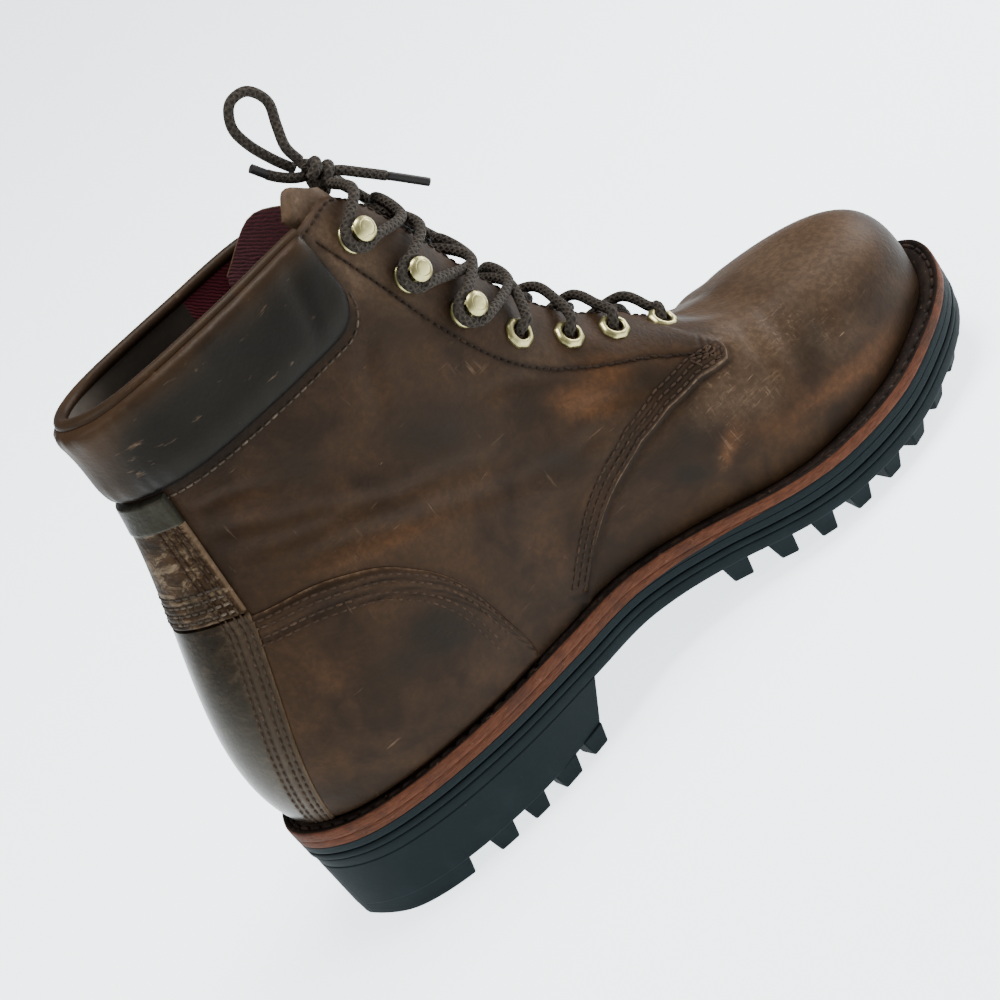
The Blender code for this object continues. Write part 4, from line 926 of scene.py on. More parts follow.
def rubber(name):
    """Black rubber: matt, faintly dusty, with small knocks."""
    c, p = colours(), Paint(name)
    dust, fine = p.noise(45.0, 5.0, 0.6), p.noise(520.0, 5.0, 0.7)
    colour = p.mix(dust.step(0.45, 0.8) * 0.5, c.rubber, 2.3 * c.rubber)
    colour = p.mix(fine.step(0.68, 0.8) * 0.3, colour, (0.09, 0.085, 0.08))
    return p.finish(colour, 0.5 + dust * 0.2 + fine * 0.08, fine * 0.6 + dust * 0.4, 0.0004, 0.35,
                    Specular_IOR_Level=0.05)


def brass(name):
    """Dull polished brass with fine rubbing and darker film."""
    c, p = colours(), Paint(name)
    film, fine = p.noise(330.0, 4.0, 0.6), p.noise(1600.0, 3.0)
    colour = p.mix(film.step(0.42, 0.75) * 0.55, c.brass, 0.45 * c.brass)
    return p.finish(colour, 0.22 + film * 0.2 + fine * 0.08, fine, 0.0001, 0.25, Metallic=1.0)


def plain(name, colour, roughness):
    """A dark or plain material with a little unevenness."""
    p = Paint(name)
    fine = p.noise(500.0, 3.0)
    shade = p.mix(fine, 0.8 * Color(colour), 1.2 * Color(colour))
    return p.finish(shade, roughness + fine * 0.1, fine, 0.0002, 0.2, Specular_IOR_Level=0.12)


def braid(name):
    """Round braid: two sets of slanting strands on the lace's own UV map, brown with tan flecks."""
    c, p = colours(), Paint(name)
    turn = p.node("ShaderNodeSeparateXYZ", {}, {0: p.uv()})
    along = Value(p, turn.socket.node.outputs[1])
    one, two = (((turn * 5.0 + along * lean) * (2 * math.pi)).math("SINE") for lean in (0.42, -0.42))
    strands = one.math("MAXIMUM", two)
    fleck = p.noise(1.0, 2.0, 0.5, 0.0, p.uv((10.0, 1.4, 1.0)))
    fuzz = p.noise(1500.0, 3.0)
    colour = p.mix(fleck.step(0.5, 0.68) * 0.75, c.lace, c.lace_fleck)
    # Darker in the gaps between the strands: painted shade
    colour = p.mix(strands.step(0.3, -0.5) * 0.6, colour, 0.25 * c.lace)
    return p.finish(colour, 0.82, strands * 0.8 + fuzz * 0.35, 0.0006, 0.8, Specular_IOR_Level=0.15)


def rounded(distance, radius):
    """Quarter round: 0 at the edge, 1 from radius inwards."""
    t = np.clip(distance / radius, 0, 1)
    return np.sqrt(1 - (1 - t) ** 2)


def border_distance(points):
    """Distance of each point of an open grid to the grid's nearest border, measured along its lines."""
    def run(axis):
        steps = np.linalg.norm(np.diff(points, axis=axis), axis=-1)
        total = np.cumsum(steps, axis=axis)
        zero = np.zeros_like(np.take(total, [0], axis=axis))
        ahead = np.concatenate((zero, total), axis)
        return np.minimum(ahead, np.take(ahead, [-1], axis=axis) - ahead)
    return run(0), run(1)


def to_row_end(points):
    """Distance of each point of a grid to the end of its row, measured along the row."""
    steps = np.linalg.norm(np.diff(points, axis=1, append=points[:, -1:]), axis=-1)
    return np.cumsum(steps[:, ::-1], axis=1)[:, ::-1]


def groove_at(distance, rows, half_width=0.65):
    """Strength of sunk stitch lines at given distances from an edge: a bell over each."""
    return np.clip(sum(np.exp(-((distance - row) / half_width) ** 2) for row in rows), 0, 1)


def overlay(name, node, material, u, v, thick, values, extra=0.0):
    """Leather laid on the upper over a grid of places, with rounded edges and sunk stitch lines."""
    base, normal = outside(u, v, 0.0), last_normal(u, v)
    edge = 0.25 + 0.75 * rounded(np.minimum(*border_distance(base)), LEATHER_EDGE)
    lift = CUT_THICK + relief(u, v) * 0.6 + (thick - CUT_THICK) * edge + extra - ROW_DEPTH * values["groove"]
    new_shell(name, base + lift[..., None] * normal, base + BACK_LIFT * normal, [material], node, values)


def seam_distance(u, v, points):
    """Distance of each point from the vamp seam, over 0 on the quarter's side of it."""
    near, heights = dense(*SEAM_PLACES.T, 240)
    gap = np.full(u.shape, 1e6)
    for line in (last(near, heights), last(SECTION_COUNT - near, heights)):
        for place in line:
            gap = np.minimum(gap, ((points - place) ** 2).sum(-1))
    behind = near_side(u) > SEAM_PLACES[-1, 0]
    return np.sqrt(gap) * np.where((v > seam_v(u)) | behind, 1, -1)


def pad_bottom(front):
    """Height of the pad's lower edge at a distance behind its front end, where it rises in a quarter circle."""
    return PAD_BOTTOM_Z + PAD_CORNER * (1 - np.sqrt(1 - np.clip(1 - front / PAD_CORNER, 0, 1) ** 2))


def build_upper():
    """The upper: its inside from the section curves, its outside a wall's thickness further out plus relief."""
    columns, low_rows, high_rows = 14, 42, 74
    u = np.arange(SECTION_COUNT * columns) / columns
    split = seam_v(u)[:, None]
    low = split * np.linspace(0, 1, low_rows)
    step = split + SEAM_STEP_V * np.array((0.2, 0.45, 0.75))
    high = split + SEAM_STEP_V + (1 - split - SEAM_STEP_V) * np.linspace(0, 1, high_rows)
    v = np.concatenate((low, step, high), 1)
    u = np.broadcast_to(u[:, None], v.shape)
    inner, near = last(u, v), near_side(u)
    seamed = smooth((near - SEAM_PLACES[0, 0]) / 0.1)
    from_seam = seam_distance(u, v, inner)

    def beside_seam(middle, half_width):
        return np.exp(-((from_seam - middle) / half_width) ** 2) * seamed
    stays = np.concatenate([last(*side_places(EYESTAY_LINE, lateral)) for lateral in (False, True)])
    from_stay = np.sqrt(np.min([((inner - place) ** 2).sum(-1) for place in stays], axis=0))
    # groove sinks the vamp's stitch rows and the eyestay line; with the band under the quarter's edge and pad_shade
    # under the collar pad it also darkens the leather as painted shade
    groove = np.maximum(groove_at(from_seam, VAMP_ROWS) * seamed, np.exp(-from_stay ** 2))
    front = (near - PAD_FRONT_U) * PAD_SECTION
    below = np.maximum(pad_bottom(front) - inner[..., 2], 0)
    pad_shade = np.exp(-(np.hypot(below, np.minimum(front, 0)) / PAD_SHADE) ** 2)
    rim = rounded((1 - v) * TOP_RISE, 1.6)
    lift = wall(u, v) * (0.45 + 0.55 * rim) + relief(u, v) - 0.3 * groove
    lift += 0.25 * beside_seam(1.0, 0.9) - 0.4 * beside_seam(-1.0, 1.3)
    wear = np.clip(0.8 * beside_seam(0.5, 0.6) + 0.45 * smooth((v - 0.99) / 0.01), 0, 1)
    values = {"rust": patches(RUST, u, v), "dark": patches(DARK, u, v), "pale": patches(PALE, u, v),
              "scuffed": patches(SCUFFED, u, v), "wear": wear, "knit": smooth((KNIT_BACK_U - near) / 0.3),
              "groove": np.maximum(np.maximum(groove, beside_seam(-0.7, 0.8)), pad_shade)}
    new_shell("upper_leather", inner + lift[..., None] * last_normal(u, v), inner,
              [leather("oiled_leather"), lining("inside")], "upper", values, closed=True)


def strip_half(v):
    """Half the width of the heel's strip at height v, in sections."""
    return np.interp(v, *np.array(BACKSTAY_WIDTH, float).T)


def strip_levels():
    """Heights v of the seam across the heel's strip and of the strip's top."""
    return v_at_height(HEEL_U, np.array((SEAM_Z, PAD_BOTTOM_Z - 1.0)))


def strip_grid(low_v, high_v, columns, rows):
    """Places of the heel's strip between two heights, as wide as its table says."""
    v = np.linspace(low_v, high_v, rows)[:, None] + np.zeros(columns)
    return HEEL_U + (strip_half(v) + STRIP_LAP_U) * np.linspace(1, -1, columns), v


def build_backstay():
    """Strip up the heel's back: the smooth lower part and the scuffed upper one under its tab."""
    seam, top = strip_levels()
    for name, node, low, high, rough_share in (
            ("backstay_smooth", "backstay_lower", LEATHER_FOOT_V, seam - 0.001, 0.12),
            ("backstay_scuffed", "backstay_upper", seam - 0.004, top, 1.0)):
        u, v = strip_grid(low, high, 91, 90)
        to_ends, to_sides = border_distance(outside(u, v, 0.0))
        over_seam = (v - seam) * HEEL_RISE
        tab = smooth(((v - seam) / (top - seam) - TAB_START) / 0.02)
        # groove sinks the stitch rows and also darkens them as painted shade
        groove = groove_at(to_sides, STRIP_ROWS) * (1 - tab)
        extra = 0.55 * tab
        if node == "backstay_upper":
            groove = np.maximum(groove, groove_at(over_seam, SEAM_ROWS) * smooth((to_sides - 1.0) / 0.5))
            extra = extra + 0.35 * smooth(over_seam / 0.8 + 0.5)
        values = {"tab": tab, "groove": groove, "wear": np.exp(-to_sides / 0.55) * smooth(to_ends / 2.0) * (1 - tab),
                  "border": smooth((12.0 - to_sides) / 2.5)}
        material = strip_leather(name.replace("backstay", "strip"), rough_share)
        overlay(name, node, material, u, v, STRIP_THICK, values, extra)


def build_counters():
    """Counter pieces on both sides of the heel, from the strip forward to the welt."""
    material = leather("counter_leather")
    run, rise = np.linspace(0, 1, 90)[:, None], np.linspace(0, 1, 56)
    near = (COUNTER_FRONT_U + (COUNTER_BACK_U - COUNTER_FRONT_U) * run)[:, 0]
    top = v_at_height(near, profile(COUNTER_TOP_Z, near))[:, None]
    height = LEATHER_FOOT_V + (top - LEATHER_FOOT_V) * rise
    near = COUNTER_FRONT_U + (HEEL_U - strip_half(height) - 0.04 - COUNTER_FRONT_U) * run
    for side, u, v in (("medial", near, height), ("lateral", SECTION_COUNT - near[::-1], height[::-1])):
        from_top = to_row_end(outside(u, v, 0.0))
        # groove sinks the counter's stitch rows and also darkens them as painted shade
        values = {"rust": patches(RUST, u, v), "dark": patches(DARK, u, v), "scuffed": patches(SCUFFED, u, v),
                  "wear": 0.7 * np.exp(-from_top / 0.9), "groove": groove_at(from_top, COUNTER_ROWS)}
        overlay("counter_leather_" + side, "counter_" + side, material, u, v, COUNTER_THICK, values)


def pad_places(columns, rows):
    """Places of the collar pad, its share along from -1 to 1 and its share up from 0 to 1."""
    run = np.linspace(-1, 1, columns)
    u = HEEL_U + (HEEL_U - PAD_FRONT_U) * run
    bottom = pad_bottom((1 - np.abs(run)) * (HEEL_U - PAD_FRONT_U) * PAD_SECTION)
    rise = np.linspace(0, 1, rows)
    v = v_at_height(u, bottom)[:, None] * (1 - rise) + PAD_RIM_V * rise
    return np.broadcast_to(u[:, None], v.shape), v, run[:, None] + 0 * v, rise + 0 * v


def build_pad():
    """Collar pad: a pillow over the upper, pulled in at its seams, with soft puckers along them."""
    u, v, run, rise = pad_places(190, 34)
    base, normal = outside(u, v, 0.0), last_normal(u, v)
    along, up = border_distance(base)
    from_top = to_row_end(base)
    seamed = np.where(rise < 0.5, np.minimum(along, up), np.minimum(along, 40.0))
    crown = rounded(seamed, 10.0) * (0.35 + 0.65 * rounded(from_top, 5.0))
    pucker = 0.28 * np.sin(run * 71.0 + 1.3 * np.sin(run * 19.0)) * np.exp(-up / 6.0) * smooth(up / 1.5)
    fold = -0.9 * np.exp(-((np.abs(run) - 0.86 - 0.05 * rise) / 0.025) ** 2)
    fold *= smooth(rise / 0.3) * smooth((1 - rise) / 0.3)
    sag = 0.35 * np.sin(run * 13.0) * np.sin(rise * 5.0) * crown
    lift = PAD_EDGE + (sizes().pad_bulge / MM - PAD_EDGE) * crown + pucker + fold + sag
    worn = 0.85 * np.exp(-from_top / 11.0) + 0.5 * np.exp(-along / 2.5) + 0.6 * smooth((0.42 - np.abs(run)) / 0.35)
    material = pad_leather("pad_leather")
    # groove: painted shade along the pad's pulled-in seams
    pad = new_shell("collar_pad_soft", base + lift[..., None] * normal, base + BACK_LIFT * normal, [material],
                    "collar_pad", {"edge": np.clip(worn, 0, 1), "groove": np.exp(-(seamed / 3.6) ** 2)})
    u = np.linspace(PAD_FRONT_U, SECTION_COUNT - PAD_FRONT_U, 230)
    rim = last(u, 1.0) + 0.6 * QUARTER_WALL * last_normal(u, np.ones(len(u))) - (0.0, 0.0, 0.8)
    points, quads, caps, _ = tube(rim, ROLL_RADIUS)
    roll = new_piece("collar_roll", points, [quads, caps], [material],
                     values={"edge": np.full(len(points), 0.8)})
    close_seam(roll)


def close_seam(piece):
    """Merge the doubled points along a tube's seam."""
    weld = piece.modifiers.new("closed_seam", "WELD")
    weld.merge_threshold = 0.000001


def throat_middle(u, lift):
    """Point between the two edges of the throat beside section u, raised out of the boot."""
    far = SECTION_COUNT - u
    out = unit(last_normal(u, 1.0) + last_normal(far, 1.0))
    return 0.5 * (last(u, 1.0) + last(far, 1.0)) + lift * out


def spread(points, count):
    """Resample a grid's first axis on the open Catmull-Rom curve through its rows."""
    return open_curve(points, np.linspace(0, len(points) - 1.000001, count))


def build_tongue():
    """Tongue: wings under the throat's edges, a sheet across between them, leather outside and knit inside."""
    def under(u, v):
        return last(u, v) - (TONGUE_SINK + TONGUE_THICK) * last_normal(u, v)

    def across(u):
        knots, medial_back, lateral_back = np.array(TONGUE_SPREAD).T
        back, far_back = np.interp(u, knots, medial_back), np.interp(u, knots, lateral_back)
        wing = TONGUE_WING / (1 + back)
        shares = (1.0, 0.5, 0.0)
        medial = [under(u + back * share, 1 - wing * share) for share in shares]
        lateral = [under(SECTION_COUNT - u - far_back * share, 1 - wing * share) for share in shares[::-1]]
        middle = [medial[-1] + (lateral[0] - medial[-1]) * t for t in (0.25, 0.5, 0.75)]
        return np.array(medial + middle + lateral)
    front = [under(u, v) for u, v in TONGUE_NOSE] + [under(SECTION_COUNT - u, v) for u, v in TONGUE_NOSE[-2::-1]]
    rows = [np.array(front)] + [across(u) for u in TONGUE_SECTIONS]
    middle = len(TONGUE_TOP_LINE) // 2
    lean = unit(rows[-1][middle] - rows[-2][middle])
    rows.append(rows[-1] + TONGUE_TOP_RISE * np.array(TONGUE_TOP_LINE)[:, None] * lean)
    base = spread(np.stack(rows), 90)
    base = spread(base.transpose(1, 0, 2), 44).transpose(1, 0, 2)
    normal = unit(np.cross(np.gradient(base, axis=1), np.gradient(base, axis=0)))
    thick = TONGUE_THICK * (0.35 + 0.65 * rounded(np.minimum(*border_distance(base)), 2.0))
    values = {key: np.full(thick.shape, share) for key, share in (("pale", 1.3), ("wear", 0.0), ("dark", 0.0))}
    new_shell("tongue_leather", base + thick[..., None] * normal, base,
              [leather("tongue_hide"), knit_cloth("tongue_knit")], "tongue", values)


def all_round(steps):
    """Section numbers all round the sole, so many to a section."""
    return np.arange(SECTION_COUNT * steps) / steps


def upper_foot(u):
    """Inset of the upper's foot from the sole's edge."""
    return blend(SHARED["welt"], u) + VAMP_WALL


def plate_faces(rings, count):
    """Side quads between rings listed top to bottom, and triangles across the top and bottom rings."""
    k = np.arange(count // 2)
    far, far_next = (count - k) % count, count - k - 1
    strips = np.concatenate((np.stack((k, far, k + 1), 1)[1:], np.stack((far, far_next, k + 1), 1)[:-1]))
    return [grid_quads(rings, count, False, True), np.concatenate((strips, strips[:, ::-1] + (rings - 1) * count))]


def build_plate(name, node, material, layers, black=None):
    """A plate of the sole: its edge moved in by each layer's inset at each layer's height, black under a line.

    The line is a table of heights over x; the black attribute is 0.5 on it and rises by 1 for each mm below it.
    """
    u = all_round(PLATE_STEPS)
    rings = [sole_ring(u, inset, height) for inset, height in layers]
    values = None
    if black:
        line = profile(black, blend(EDGE[:, 0], u)) + 0.5
        values = {"black": np.concatenate([line - height for _, height in layers])}
    new_piece(name, np.concatenate(rings), plate_faces(len(rings), len(u)), [material], (node,),
              values=values)


def build_sole():
    """Outsole plate with its stepped side, midsole, insole, and the welt with its stitched groove."""
    middle = -WELT_THICK - GAP
    top = middle - MIDSOLE_THICK - GAP
    low, band = top - OUTSOLE_THICK, top - OUTSOLE_BAND
    build_plate("outsole_plate", "outsole", rubber("plate_rubber"),
                ((1.2, top), (0.5, top - 0.1), (0.2, top - 0.4), (0.2, band + 0.35), (0.45, band), (1.0, band - 0.1),
                 (1.15, band - 0.35), (0.75, band - 0.75), (0.7, band - 1.2), (1.1, low + 1.0), (1.4, low + 0.4),
                 (2.2, low)))
    build_plate("midsole_edge", "midsole", midsole_edge("red_brown_edge"),
                [(inset, middle + height) for inset, height in MIDSOLE_LAYERS],
                black=[(x, middle + height) for x, height in BLACK_LINE])
    foot = upper_foot(all_round(PLATE_STEPS))
    build_plate("insole_sheet", "insole", plain("insole_hide", colours().insole, 0.7),
                [(foot + inset, height) for inset, height in
                 ((1.2, INSOLE_RISE), (0.6, INSOLE_RISE - 0.4), (0.6, 1.0 - WELT_THICK))])
    u = all_round(WELT_STEPS)
    foot = upper_foot(u)
    corners = ((foot, 0.0), (0.62 * foot, 0.05), *WELT_CORNERS, (foot, -4.1))
    rings = np.stack([sole_ring(u, inset, height) for inset, height in corners], 1)
    faces = grid_quads(len(u), len(corners), True, True)[:, (0, 3, 2, 1)]
    side = np.tile(np.arange(len(corners)) >= WELT_SIDE_CORNER, len(u))
    new_piece("welt_strip", rings.reshape(-1, 3), [faces], [welt_leather("welt_hide")], ("welt",),
              values={"side": side.astype(float)})


def edge_u_at(x, lateral):
    """Section at which the sole's edge reaches x on one side."""
    u = np.linspace(0, HEEL_U, 721)
    if lateral:
        u = SECTION_COUNT - u
    return float(np.interp(-x, -blend(EDGE, u)[:, 0], u))


def tapered_edge(u, inset):
    """The sole's edge moved in by inset on the sides and by less at the toe and the heel."""
    normal = edge_normal(u)
    share = END_TAPER + (1 - END_TAPER) * np.abs(normal[:, 1:])
    return blend(EDGE, u) - inset * share * normal


def outsole_under(x):
    """Height of the sole plate's underside."""
    return profile(WELT_TOP, x) - WELT_THICK - MIDSOLE_THICK - OUTSOLE_THICK - 2 * GAP


def tread_block(tip, root, root_height):
    """A tread block between two outlines: its tip on the tread's profile, its root inside the sole."""
    low = np.column_stack((tip, profile(TREAD, tip[:, 0])))
    high = np.column_stack((root, root_height(root[:, 0])))
    return np.stack((low, high))


def edge_block(first_u, last_u, reach, root_inset, root_height):
    """Tread block on the sole's edge between two sections, wider at its root."""
    run = np.linspace(first_u, last_u, max(3, 1 + round(abs(last_u - first_u) * 10)))
    flare = LUG_FLARE * (last_u - first_u) / run_lengths(blend(EDGE, run))[-1]
    wide = np.linspace(first_u - flare, last_u + flare, len(run))

    def outline(sections, outer):
        inner = blend(EDGE, sections) - reach * edge_normal(sections)
        return np.concatenate((tapered_edge(sections, outer), inner[::-1]))
    return tread_block(outline(run, LUG_TIP_INSET), outline(wide, root_inset), root_height)


def bar_block(x, reach, root_height):
    """Tread block across the middle of the sole."""
    medial = blend(EDGE, edge_u_at(x, False))[1] + reach + BAR_CLEAR
    lateral = blend(EDGE, edge_u_at(x, True))[1] - reach - BAR_CLEAR

    def outline(half, trim):
        return np.array(((x + half, medial - trim), (x - half, medial - trim), (x - half, lateral + trim),
                         (x + half, lateral + trim)))
    return tread_block(outline(BAR_WIDTH / 2, 0), outline(BAR_WIDTH / 2 + LUG_FLARE, LUG_FLARE), root_height)


def build_tread():
    """Heel and tread blocks: prisms between outlines, their edges broken by a bevel."""
    def heel_root(x):
        return np.full_like(np.asarray(x, float), HEEL_LUG_DEPTH + LUG_ROOT)

    def sole_root(x):
        return outsole_under(x) + LUG_ROOT
    heel_inset = HEEL_TAPER + OUTSOLE_STEP
    blocks = []
    for low_x, high_x in HEEL_LUGS:
        for lateral in (False, True):
            ends = sorted((edge_u_at(low_x, lateral), edge_u_at(high_x, lateral)))
            blocks.append(edge_block(*ends, HEEL_LUG_REACH, heel_inset, heel_root))
    rear = (edge_u_at(HEEL_REAR_LUG_X, False), edge_u_at(HEEL_REAR_LUG_X, True))
    blocks.append(edge_block(*rear, HEEL_LUG_REACH, heel_inset, heel_root))
    blocks += [bar_block(x, HEEL_LUG_REACH, heel_root) for x in HEEL_BARS]
    run = np.linspace(edge_u_at(FOREFOOT_LUG_X, True) - SECTION_COUNT, edge_u_at(FOREFOOT_LUG_X, False), 801)
    lengths = run_lengths(blend(EDGE, run))
    count = round(lengths[-1] / FOREFOOT_LUG_PITCH)
    half = FOREFOOT_LUG_TIP / 2
    for middle in np.linspace(half, lengths[-1] - half, count + 1):
        ends = np.interp((middle - half, middle + half), lengths, run)
        blocks.append(edge_block(*ends, FOREFOOT_LUG_REACH, LUG_ROOT_INSET, sole_root))
    blocks += [bar_block(x, FOREFOOT_LUG_REACH, sole_root) for x in FOREFOOT_BARS]
    run = np.linspace(edge_u_at(HEEL_BREAST_X, False), edge_u_at(HEEL_BREAST_X, True), 97)
    rim = blend(EDGE, run) - OUTSOLE_STEP * edge_normal(run)
    base = tapered_edge(run, heel_inset)
    base[:, 0] -= HEEL_BREAST_SLOPE * np.clip(2 * rim[:, 0] / HEEL_BREAST_X - 1, 0, 1)
    blocks.append(np.stack((np.column_stack((base, np.full(len(run), HEEL_LUG_DEPTH))),
                            np.column_stack((rim, outsole_under(rim[:, 0]) + LUG_ROOT)))))
    points, sides, caps, start = [], [], [], 0
    for block in blocks:
        size = block.shape[1]
        k = np.arange(size)
        after = (k + 1) % size
        sides.append(start + np.stack((k, size + k, size + after, after), 1))
        caps += [(start + k[None]), (start + size + k[None, ::-1])]
        points.append(block.reshape(-1, 3))
        start += 2 * size
    tread = new_piece("outsole_tread", np.concatenate(points), sides + caps, [rubber("tread_rubber")],
                      ("outsole",), sharp=35.0)
    bevel = tread.modifiers.new("broken_edges", "BEVEL")
    bevel.width = 0.7 * MM
    bevel.segments = 2
    bevel.limit_method = "ANGLE"
    bevel.angle_limit = math.radians(40)


def beads(centres, tangents, normals, length, width, height):
    """Stitches: a small rounded bar at each centre, along its tangent, half sunk in the surface."""
    ring = np.linspace(0, 2 * np.pi, BEAD_SIDES, endpoint=False)
    stations = np.array((-0.5, -0.38, 0.0, 0.38, 0.5))
    girth = np.array((0.35, 0.85, 1.0, 0.85, 0.35))
    sag = np.array((-0.5, -0.1, 0.0, -0.1, -0.5))
    side = np.cross(normals, tangents)
    along = (stations * length)[None, :, None, None] * tangents[:, None, None, :]
    out = (np.cos(ring) * 0.5 * width)[None, None, :, None] * side[:, None, None, :]
    up = (np.sin(ring) * height)[None, None, :, None] * normals[:, None, None, :]
    drop = (sag * height)[None, :, None, None] * normals[:, None, None, :]
    points = centres[:, None, None, :] + along + drop + girth[None, :, None, None] * (out + up)
    offset = np.arange(len(centres))[:, None, None] * BEAD_SIDES * len(stations)
    quads = (grid_quads(len(stations), BEAD_SIDES, False, True)[None] + offset).reshape(-1, 4)
    cap = np.arange(BEAD_SIDES)[None]
    caps = np.concatenate((cap[:, ::-1], cap + BEAD_SIDES * (len(stations) - 1)))
    return points.reshape(-1, 3), quads, (caps[None] + offset).reshape(-1, BEAD_SIDES)


def stops_along(points, pitch):
    """Evenly spaced stops along a line of points: the line's lengths, the stops' lengths, centres and tangents."""
    lengths = run_lengths(points)
    stops = np.arange(0.5 * pitch, lengths[-1], pitch)
    tangents = at_lengths(points, lengths, stops + 0.3) - at_lengths(points, lengths, stops - 0.3)
    return lengths, stops, at_lengths(points, lengths, stops), unit(tangents)


def seam_beads(u, v, lift, pitch=1.0, length=1.0, width=1.0):
    """Stitches along places (u, v), at a lift over the upper's outer face; the last three scale the set sizes."""
    s = sizes()
    lengths, stops, centres, tangents = stops_along(outside(u, v, relief(u, v) + lift), pitch * s.stitch_pitch / MM)
    normals = last_normal(np.interp(stops, lengths, u), np.interp(stops, lengths, v))
    tangents = unit(tangents - (tangents * normals).sum(1, keepdims=True) * normals)
    thick = width * s.stitch_width / MM
    return beads(centres, tangents, normals, length * s.stitch_length / MM, thick, 0.5 * thick)


def beside(u, v, offset):
    """Places at a distance beside a line of places, across it on the surface."""
    points = last(u, v)
    return settle(u, v, points + offset * np.cross(last_normal(u, v), unit(np.gradient(points, axis=0))))


def stacked(parts):
    """Points, quads and end faces of several parts as those of one mesh."""
    starts = np.cumsum([0] + [len(part[0]) for part in parts])
    blocks = [np.concatenate([part[k] + start for part, start in zip(parts, starts)]) for k in (1, 2)]
    return [np.concatenate([part[0] for part in parts])] + blocks


def join_beads(name, groups, material):
    """One mesh of many stitches."""
    points, quads, caps = stacked(groups)
    new_piece(name, points, [quads, caps], [material])


def dense(u, v, count):
    """More places along a line of places, evenly between its rows."""
    t = np.linspace(0, len(u) - 1, count)
    return np.interp(t, np.arange(len(u)), u), np.interp(t, np.arange(len(v)), v)


def build_stitching():
    """Seam stitches: vamp, counters, heel strip, throat, collar and welt."""
    brown, pale, dark = [], [], []
    seam, strip_top = strip_levels()
    for lateral in (False, True):
        sign = -1 if lateral else 1
        near, v = dense(*SEAM_PLACES[1:].T, 160)
        edges = [(near, v, -sign, VAMP_ROWS, -0.02)]
        near = np.linspace(COUNTER_FRONT_U + 0.05, COUNTER_BACK_U + 0.12, 120)
        edges.append((near, v_at_height(near, profile(COUNTER_TOP_Z, near)), sign, COUNTER_ROWS, 1.5))
        v = np.linspace(0.02, seam + TAB_START * (strip_top - seam), 160)
        lift = 2.1 + 0.35 * smooth((v - seam) * HEEL_RISE)
        edges.append((HEEL_U - strip_half(v) - STRIP_LAP_U, v, sign, STRIP_ROWS, lift))
        for near, v, way, rows, lift in edges:
            brown += [seam_beads(*beside(on_side(near, lateral), v, way * row), lift) for row in rows]
        dark.append(seam_beads(*side_places(EYESTAY_LINE, lateral), 0.02, pitch=0.85))
        box_u, box_v = dense(*(SEAM_PLACES[2] + SEAM_BOX).T, 60)
        brown.append(seam_beads(on_side(box_u, lateral), box_v, 0.12, pitch=0.8, length=0.8))
    for row in SEAM_ROWS:
        level = seam + row / HEEL_RISE
        half = strip_half(level) - 0.03
        pale.append(seam_beads(HEEL_U + np.linspace(-half, half, 80), np.full(80, level), 2.42, width=1.2))
    run = np.linspace(PAD_FRONT_U - 0.06, SECTION_COUNT - PAD_FRONT_U + 0.06, 260)
    front = np.minimum(run - run[0], run[-1] - run) * PAD_SECTION
    pale.append(seam_beads(run, v_at_height(run, pad_bottom(front) - 3.2), 0.15))
    run = np.linspace(0.4, SECTION_COUNT - 0.4, 700)
    dark.append(seam_beads(run, np.full(700, 0.986), 0.05))
    c = colours()
    for name, groups, material in (
            ("seam_stitches", brown, thread("brown_thread", c.thread, 1.6 * c.thread)),
            ("collar_stitches", pale, thread("pale_thread", c.pale_thread, 1.3 * c.pale_thread, 0.35)),
            ("throat_stitches", dark, thread("dark_thread", c.deep_brown, c.brown))):
        join_beads(name, groups, material)
    line = sole_ring(np.arange(0, SECTION_COUNT, 0.02), 3.1, -0.3)
    _, _, centres, tangents = stops_along(np.concatenate((line, line[:1])), sizes().welt_pitch / MM)
    normals = unit(np.cross(np.cross(tangents, (0.0, 0.0, 1.0)), tangents))
    normals *= np.sign(normals[:, 2:])
    join_beads("welt_stitches", [beads(centres, tangents, normals, 4.6, 1.5, 0.75)],
               thread("welt_thread", 1.3 * c.welt, c.thread))


def turned(rings, corners=0):
    """Points turned about z from rings of radius and height; with corners, a third value draws a ring to a polygon."""
    turn = np.linspace(0, 2 * np.pi, BRASS_STEPS, endpoint=False)
    table = np.array(rings, float)
    radius = np.repeat(table[:, :1], BRASS_STEPS, 1)
    if corners:
        half = np.pi / corners
        chord = np.cos(half) / np.cos((turn + half) % (2 * half) - half)
        radius = radius * (1 + table[:, 2:] * (chord - 1))
    return np.stack((radius * np.cos(turn), radius * np.sin(turn), table[:, 1:2] + 0 * radius), -1).reshape(-1, 3)


def turned_faces(rings, start=0):
    """Quads between the rings of a turned piece, closed from the last ring back to the first."""
    return start + grid_quads(rings, BRASS_STEPS, True, True)[:, (0, 3, 2, 1)]


def fastener_places():
    """Medial places (u, v) of the eyelets and then the hooks, up the throat."""
    return [tuple(float(x) for x in place_near(*place)) for place in FASTENERS]


def stand_on_upper(points, u, v, lift, tilt=0.0):
    """Points about their own z axis moved to the upper's outer face, z along its normal, tilted to the boot's side."""
    normal = unit(last_normal(u, v) + (0.0, tilt if u > HEEL_U else -tilt, 0.0))
    side = unit(np.cross((0.0, 0.0, 1.0), normal))
    return points @ np.stack((side, np.cross(normal, side), normal)) + outside(u, v, lift)


